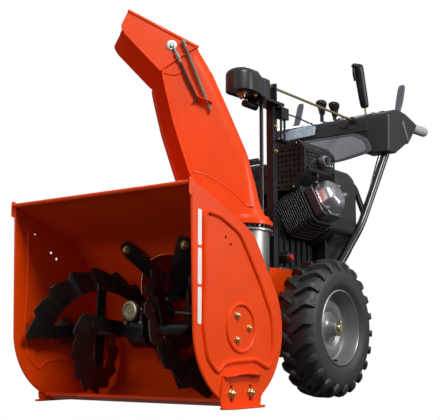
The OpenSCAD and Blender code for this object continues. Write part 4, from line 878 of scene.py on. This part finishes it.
def engine():
    outline = [(56, 632), (144, 632), (178, 692), (178, 762), (152, 788), (56, 788)]
    can = Batch()
    inner = [(117 + (x - 117) * 0.84, 710 + (z - 710) * 0.84) for x, z in outline]
    can.loft([[(x, y, z) for x, z in rounded_poly(inner, 14, 4)] for y in (748, 912)])
    can.lathe((160, 832, 728), X, [(0, 20), (14, 20), (15, 24), (26, 22), (27, 19), (20, 17)], 28)
    can.lathe((100, 742, 700), -Y, [(-10, 30), (0, 28), (3, 20)], 28)
    can.done("muffler_can", "muffler_black", replaces=["muffler"], bevel=1.5)
    front = [rounded_poly(outline, 8, 4)]
    for i in range(9):
        for j in range(7):
            x, z = 66 + j * 15, 642 + i * 16.5
            if x + 8 > 144 + (z - 632) * 34 / 60 - 12 or (z > 760 and x > 140) or (i + 2 * j) % 9 == 4:
                continue
            front.append(slot_hole(x, z, 8 if (i + j) % 3 else 11, 9, 3))
    plate("muffler_guard_front", front, plane((0, 737, 0), X, Z), 1.4, "muffler_black", bevel=0.3)
    for k, (a, b) in enumerate(zip(outline[1:5], outline[2:6])):
        across = Vector((b[0] - a[0], 0, b[1] - a[1]))
        perforated("muffler_guard_%d" % k, across.length, 186, plane((a[0], 737, a[1]), across, Y))
    pipe = Batch()
    pipe.lathe((176, 832, 728), X, [(0, 23), (2, 23), (2, 18), (24, 18), (26, 17), (26, 14.5), (4, 14.5),
                                    (4, 0)], 32)
    pipe.done("exhaust_outlet", "valve_silver")
    screws = Batch()
    for y, z in ((752, 750), (910, 750), (752, 700), (910, 700)):
        screws.bolt((178.8, y, z), X, 3.2, False)
    for x, z in ((64, 780), (148, 776), (64, 640), (136, 640)):
        screws.bolt((x, 736, z), -Y, 3.2, False)
    screws.done("guard_screws", "auger_black")
    # Cylinder with its cooling fins, tilted up to the left
    t = radians(25)
    along, up = Vector((cos(t), 0, sin(t))), Vector((-sin(t), 0, cos(t)))
    o = Vector((6, 812, 508))
    at = lambda l, y, u: o + along * l + Y * y + up * u
    fins = Batch()
    for i in range(14):
        l = 88 + i * 7.6
        h, w = 66 + (3 if i % 2 else 0), 68 + 4 * sin(i / 13 * pi)
        q = rounded_poly([(-w, -h), (w, -h), (w, h - 6), (-w, h - 6)], [26, 26, 14, 14], 5)
        fins.loft([[at(l + s, y, u) for y, u in q] for s in (0, 2.6)])
    fins.loft([[at(l, 46 * cos(a), 46 * sin(a)) for a in angles(24)] for l in (40, 205)])
    head = rounded_poly([(-58, -60), (58, -60), (62, 50), (-62, 50)], 18, 5)
    fins.loft([[at(l, y * k, u * k) for y, u in head] for l, k in ((196, 1.0), (222, 1.0), (224, 0.97))])
    fins.done("cylinder_fins", "fin_grey", bevel=0.5)
    case = Batch()
    body = rounded_poly([(-90, 378.2), (90, 378.2), (90, 540), (52, 583), (-90, 583)], [6, 10, 20, 26, 14],
                        5)
    case.loft([[(x, y, z) for x, z in body] for y in (703, 921)])
    case.lathe((0, 703, 478), -Y, [(0, 62), (12, 60), (15, 50), (15, 20)], 36)
    for i in range(6):
        y = 716 + i * 34
        case.loft([[(x, y, 384), (x, y + 4, 384), (x, y + 4, 540), (x, y, 540)] for x in (88, 96)])
    case.lathe((88, 726, 420), X, [(0, 18), (38, 18), (40, 15)], 6)
    case.lathe((0, 921, 478), Y, [(0, 90), (25, 90)], 40)
    for s in (1, -1):
        case.block((s * 98 - 14, 727, 378.2), (28, 170, 10))
    case.done("crankcase", "engine_black", replaces=["engine_block"], bevel=1.5)
    plug = Batch()
    plug.lathe((128, 726, 420), X, [(0, 10), (7, 10), (9, 7.5)], 20)
    plug.done("oil_drain_cap", "button_red", bevel=0.6)
    # Bright valve cover
    v = Batch()
    eighths = [radians(22.5 + 45 * i) for i in range(8)]
    octo = lambda k: [(k * 54 * cos(a), k * 58 * sin(a)) for a in eighths]
    v.loft([[at(l, y, u) for y, u in rounded_poly(octo(k), 7, 3)] for l, k in
            ((224.5, 1.10), (229, 1.10), (229.5, 1.0), (252, 0.96), (262, 0.84), (268, 0.66),
             (268.5, 0.6))])
    v.loft([[at(l, y, u) for y, u in rounded_poly([(-26, -14), (14, -14), (14, 16), (-26, 16)], 4, 3)]
            for l in (266, 269.5)])
    for a in (radians(k + 45) for k in (0, 90, 180, 270)):
        v.bolt(at(229, 52 * cos(a), 55 * sin(a)), along, 4.2, False)
    v.bolt(at(268, 30, -8), along, 5)
    v.bolt(at(266, 18, 22), along, 4)
    v.done("valve_cover_casting", "valve_silver", replaces=["valve_cover"], bevel=1.2)
    lead = Batch()
    lead.tube([at(222, -40, 40), at(250, -46, 62), at(236, -20, 84), at(190, 30, 100), at(150, 80, 96)], 4,
              10, 6)
    lead.lathe(at(216, -38, 34), at(250, -46, 62) - at(216, -38, 34), [(0, 8), (26, 9), (30, 6)], 16)
    lead.done("spark_plug_lead", "cable")
    # Blower housing: smooth shroud over a black skirt
    b = Batch()
    sec = rounded_poly([(-58, 392), (58, 392), (172, 520), (172, 700), (140, 739), (-140, 739), (-172, 700),
                        (-172, 520)],
                       [50, 50, 40, 34, 20, 20, 34, 40], 7)
    b.loft([[(x * k, y, 560 + (z - 560) * k) for x, z in sec] for y,
            k in ((946, 0.97), (950, 1.0), (1072, 1.0), (1082, 0.975), (1087, 0.93))])
    b.done("blower_shroud", "charcoal", replaces=["blower_housing"], bevel=0.6)
    k = Batch()
    k.lathe((0, 1086, 540), Y, [(0, 104), (1.6, 102), (1.8, 92), (1, 88), (1, 0)], 48)
    for i in range(9):
        k.block((-84, 1085.6, 470 + i * 17), (168, 2.2, 7))
    k.done("starter_grille", "knob_black", bevel=0.4)
    skirt = Batch()
    skirt.loft([[(x, y, z) for x, z in rounded_poly([(92, 470), (176, 520), (176, 566), (92, 566)], 10, 4)]
                for y in (890, 1060)])
    skirt.done("blower_skirt", "knob_black", bevel=1.5)
    # Black sloping cover beside the chassis, below the cylinder
    low = Batch()
    q = rounded_poly([(936, 384), (1010, 384), (1040, 470), (1000, 520), (936, 520)], 12, 4)
    low.loft([[(x, y, z) for y, z in q] for x in (98, 132)])
    low.done("lower_cover", "knob_black", bevel=2)
    # Tank, cap and the pull parts at the back
    t = Batch()
    q = rounded_poly([(-172, 746), (40, 746), (40, 934), (-172, 934)], 24, 6)
    shrink = lambda d, z: [(x + (-66 - x) * d / 106, y + (840 - y) * d / 94, z) for x, y in q]
    t.loft([shrink(d, z) for d, z in ((8, 624.5), (2, 628), (0, 636), (0, 672), (2, 676), (2, 682),
                                      (0, 686), (0, 712),
                                      (4, 724), (14, 732), (30, 734))])
    t.lathe((-80, 822, 730), Z, [(0, 30), (6, 28), (12, 24)], 32)
    t.done("fuel_tank_shell", "knob_black", replaces=["fuel_tank"], bevel=0.8)
    c = Batch()
    c.lathe((-80, 822, 742.5), Z, [(0, 31), (2, 32), (16, 32), (20, 29), (21, 0)], 36)
    for i in range(18):
        a = i * pi / 9
        c.lathe((-80 + 31.5 * cos(a), 822 + 31.5 * sin(a), 744), Z, [(0, 1.6), (14, 1.6)], 6)
    c.block((-108, 817, 762), (56, 10, 6))
    c.done("fuel_cap_knurled", "knob_black", "fuel_cap", replaces=["fuel_cap"], bevel=1)


# ---------------------------------------------------------------- wheels
def wheels():
    for s, n in ((1, "left"), (-1, "right")):
        c = Vector((239 * s, 742, 204))
        around = lambda a, r, off: c + X * off + Vector((0, cos(a), sin(a))) * r
        b = Batch()
        side = [(44, 112), (50, 113), (54, 118), (57, 126), (58.4, 127), (58.4, 131), (59.5, 132),
                (60, 148), (59.6, 160), (56, 172), (49, 181), (36, 187), (18, 189.5)]
        prof = [(-a, r) for a, r in side] + [(0, 190)] + side[::-1]
        b.loft([[around(turn, r, off) for off, r in prof] for turn in angles(96) + [0]], caps=False)
        lug = [((2, 203.4), (2, 184), 0.0, 8), ((16, 203.6), (16, 183), 2.4, 9),
               ((32, 202.6), (31, 181), 6.2, 8.5), ((45, 199), (41, 176), 8.4, 9.5),
               ((55, 191), (47, 169), 8.6, 11), ((60.5, 179), (50, 163), 8.2, 9),
               ((60.5, 168), (54, 158), 7.6, 5.5)]
        for i in range(22):
            for k in (-1, 1):
                rings = []
                for (ao, ro), (ai, ri), da, w in lug:
                    a = radians((i + k * 0.25) * 360 / 22 - da)
                    quad = []
                    for off, r, ww in ((ao, ro, w * 0.82), (ai, ri, w * 1.12)):
                        d = ww / r
                        quad.append((around(a - d, r, off * k), around(a + d, r, off * k)))
                    (a0, a1), (b0, b1) = quad
                    rings.append([a0, a1, b1, b0] if k > 0 else [a1, a0, b0, b1])
                b.loft(rings)
        b.done(n + "_tyre_tread", "tyre", n + "_wheel", replaces=[n + "_tyre"], bevel=1.3)
        rim = Batch()
        face = [(52, 111.9), (53.5, 108), (50, 105), (42, 103.5), (38, 101), (30, 99.5), (20, 98), (12, 95),
                (9, 90), (10, 86), (15, 82), (17, 76),
                (17, 62), (13, 55), (10, 48), (12, 40), (19, 32), (24, 28), (40, 22), (43, 20), (43, 10.2)]
        rim.lathe(c, X * s, face + [(-42, 10.2), (-42, 20), (4, 24), (6, 60), (4, 88), (-40, 94),
                                    (-54, 108), (-54, 111.9)], 72, ring=True)
        rim.done(n + "_rim_dish", "rim", n + "_wheel", replaces=[n + "_rim"])
        pin = Batch()
        pin.tube([c + X * s * a + Z * h for a, h in ((30, 20), (48, 20), (50, 8), (48, -20), (34, -20))],
                 2.6, 8, 5)
        pin.lathe(c + X * s * 43, X * s, [(0, 9.5), (6, 9.5), (8, 8)], 24)
        pin.done(n + "_hub_pin", "yellow_zinc", n + "_wheel")
        valve = Batch()
        valve.lathe(around(-1.9, 100, 30 * s), X * s, [(0, 3.5), (18, 3.0), (24, 3.6), (26, 2.5)], 12)
        valve.done(n + "_valve_stem", "cable", n + "_wheel")


# ---------------------------------------------------------------- small parts
def fittings():
    b = Batch()
    for y, z in ((560, 350), (560, 300), (560, 180), (960, 350)):
        b.bolt((145.2, y, z), X, 4)
        b.bolt((-145.2, y, z), -X, 4)
    for z in (818, 740):
        b.bolt((122.4, 657, z), X, 3)
    for s in (1, -1):
        b.bolt((173.5 * s, 925, 372), X * s, 4)
        b.bolt((178.5 * s, 965, 415), X * s, 4)
    b.done("frame_bolts", "yellow_zinc")
    strap = Batch()
    strap.block((96, 672, 384), (3, 26, 150))
    strap.block((123, 640, 378.2), (22, 60, 5))
    strap.done("post_foot", "zinc", bevel=0.6)


FINE_NODES = ("worm_wheel", "shear_pins", "control_cables", "handlebars")


def carried_over():
    """Finishes for the CAD nodes that stay, from the record's slots."""
    wanted = {q["node"]: q["material_slot"] for q in frame["record"]["subparts"]}
    for node, ob in frame["nodes"].items():
        ob.data.materials.clear()
        ob.data.materials.append(MATS[wanted[node]])
        if not ob.hide_render:
            dress(ob, 0.0 if node in FINE_NODES else 0.5)


camera()
studio()
materials()
housing()
augers()
gearcase()
chute()
deflector()
gear_cover()
controls()
dash()
engine()
wheels()
fittings()
carried_over()
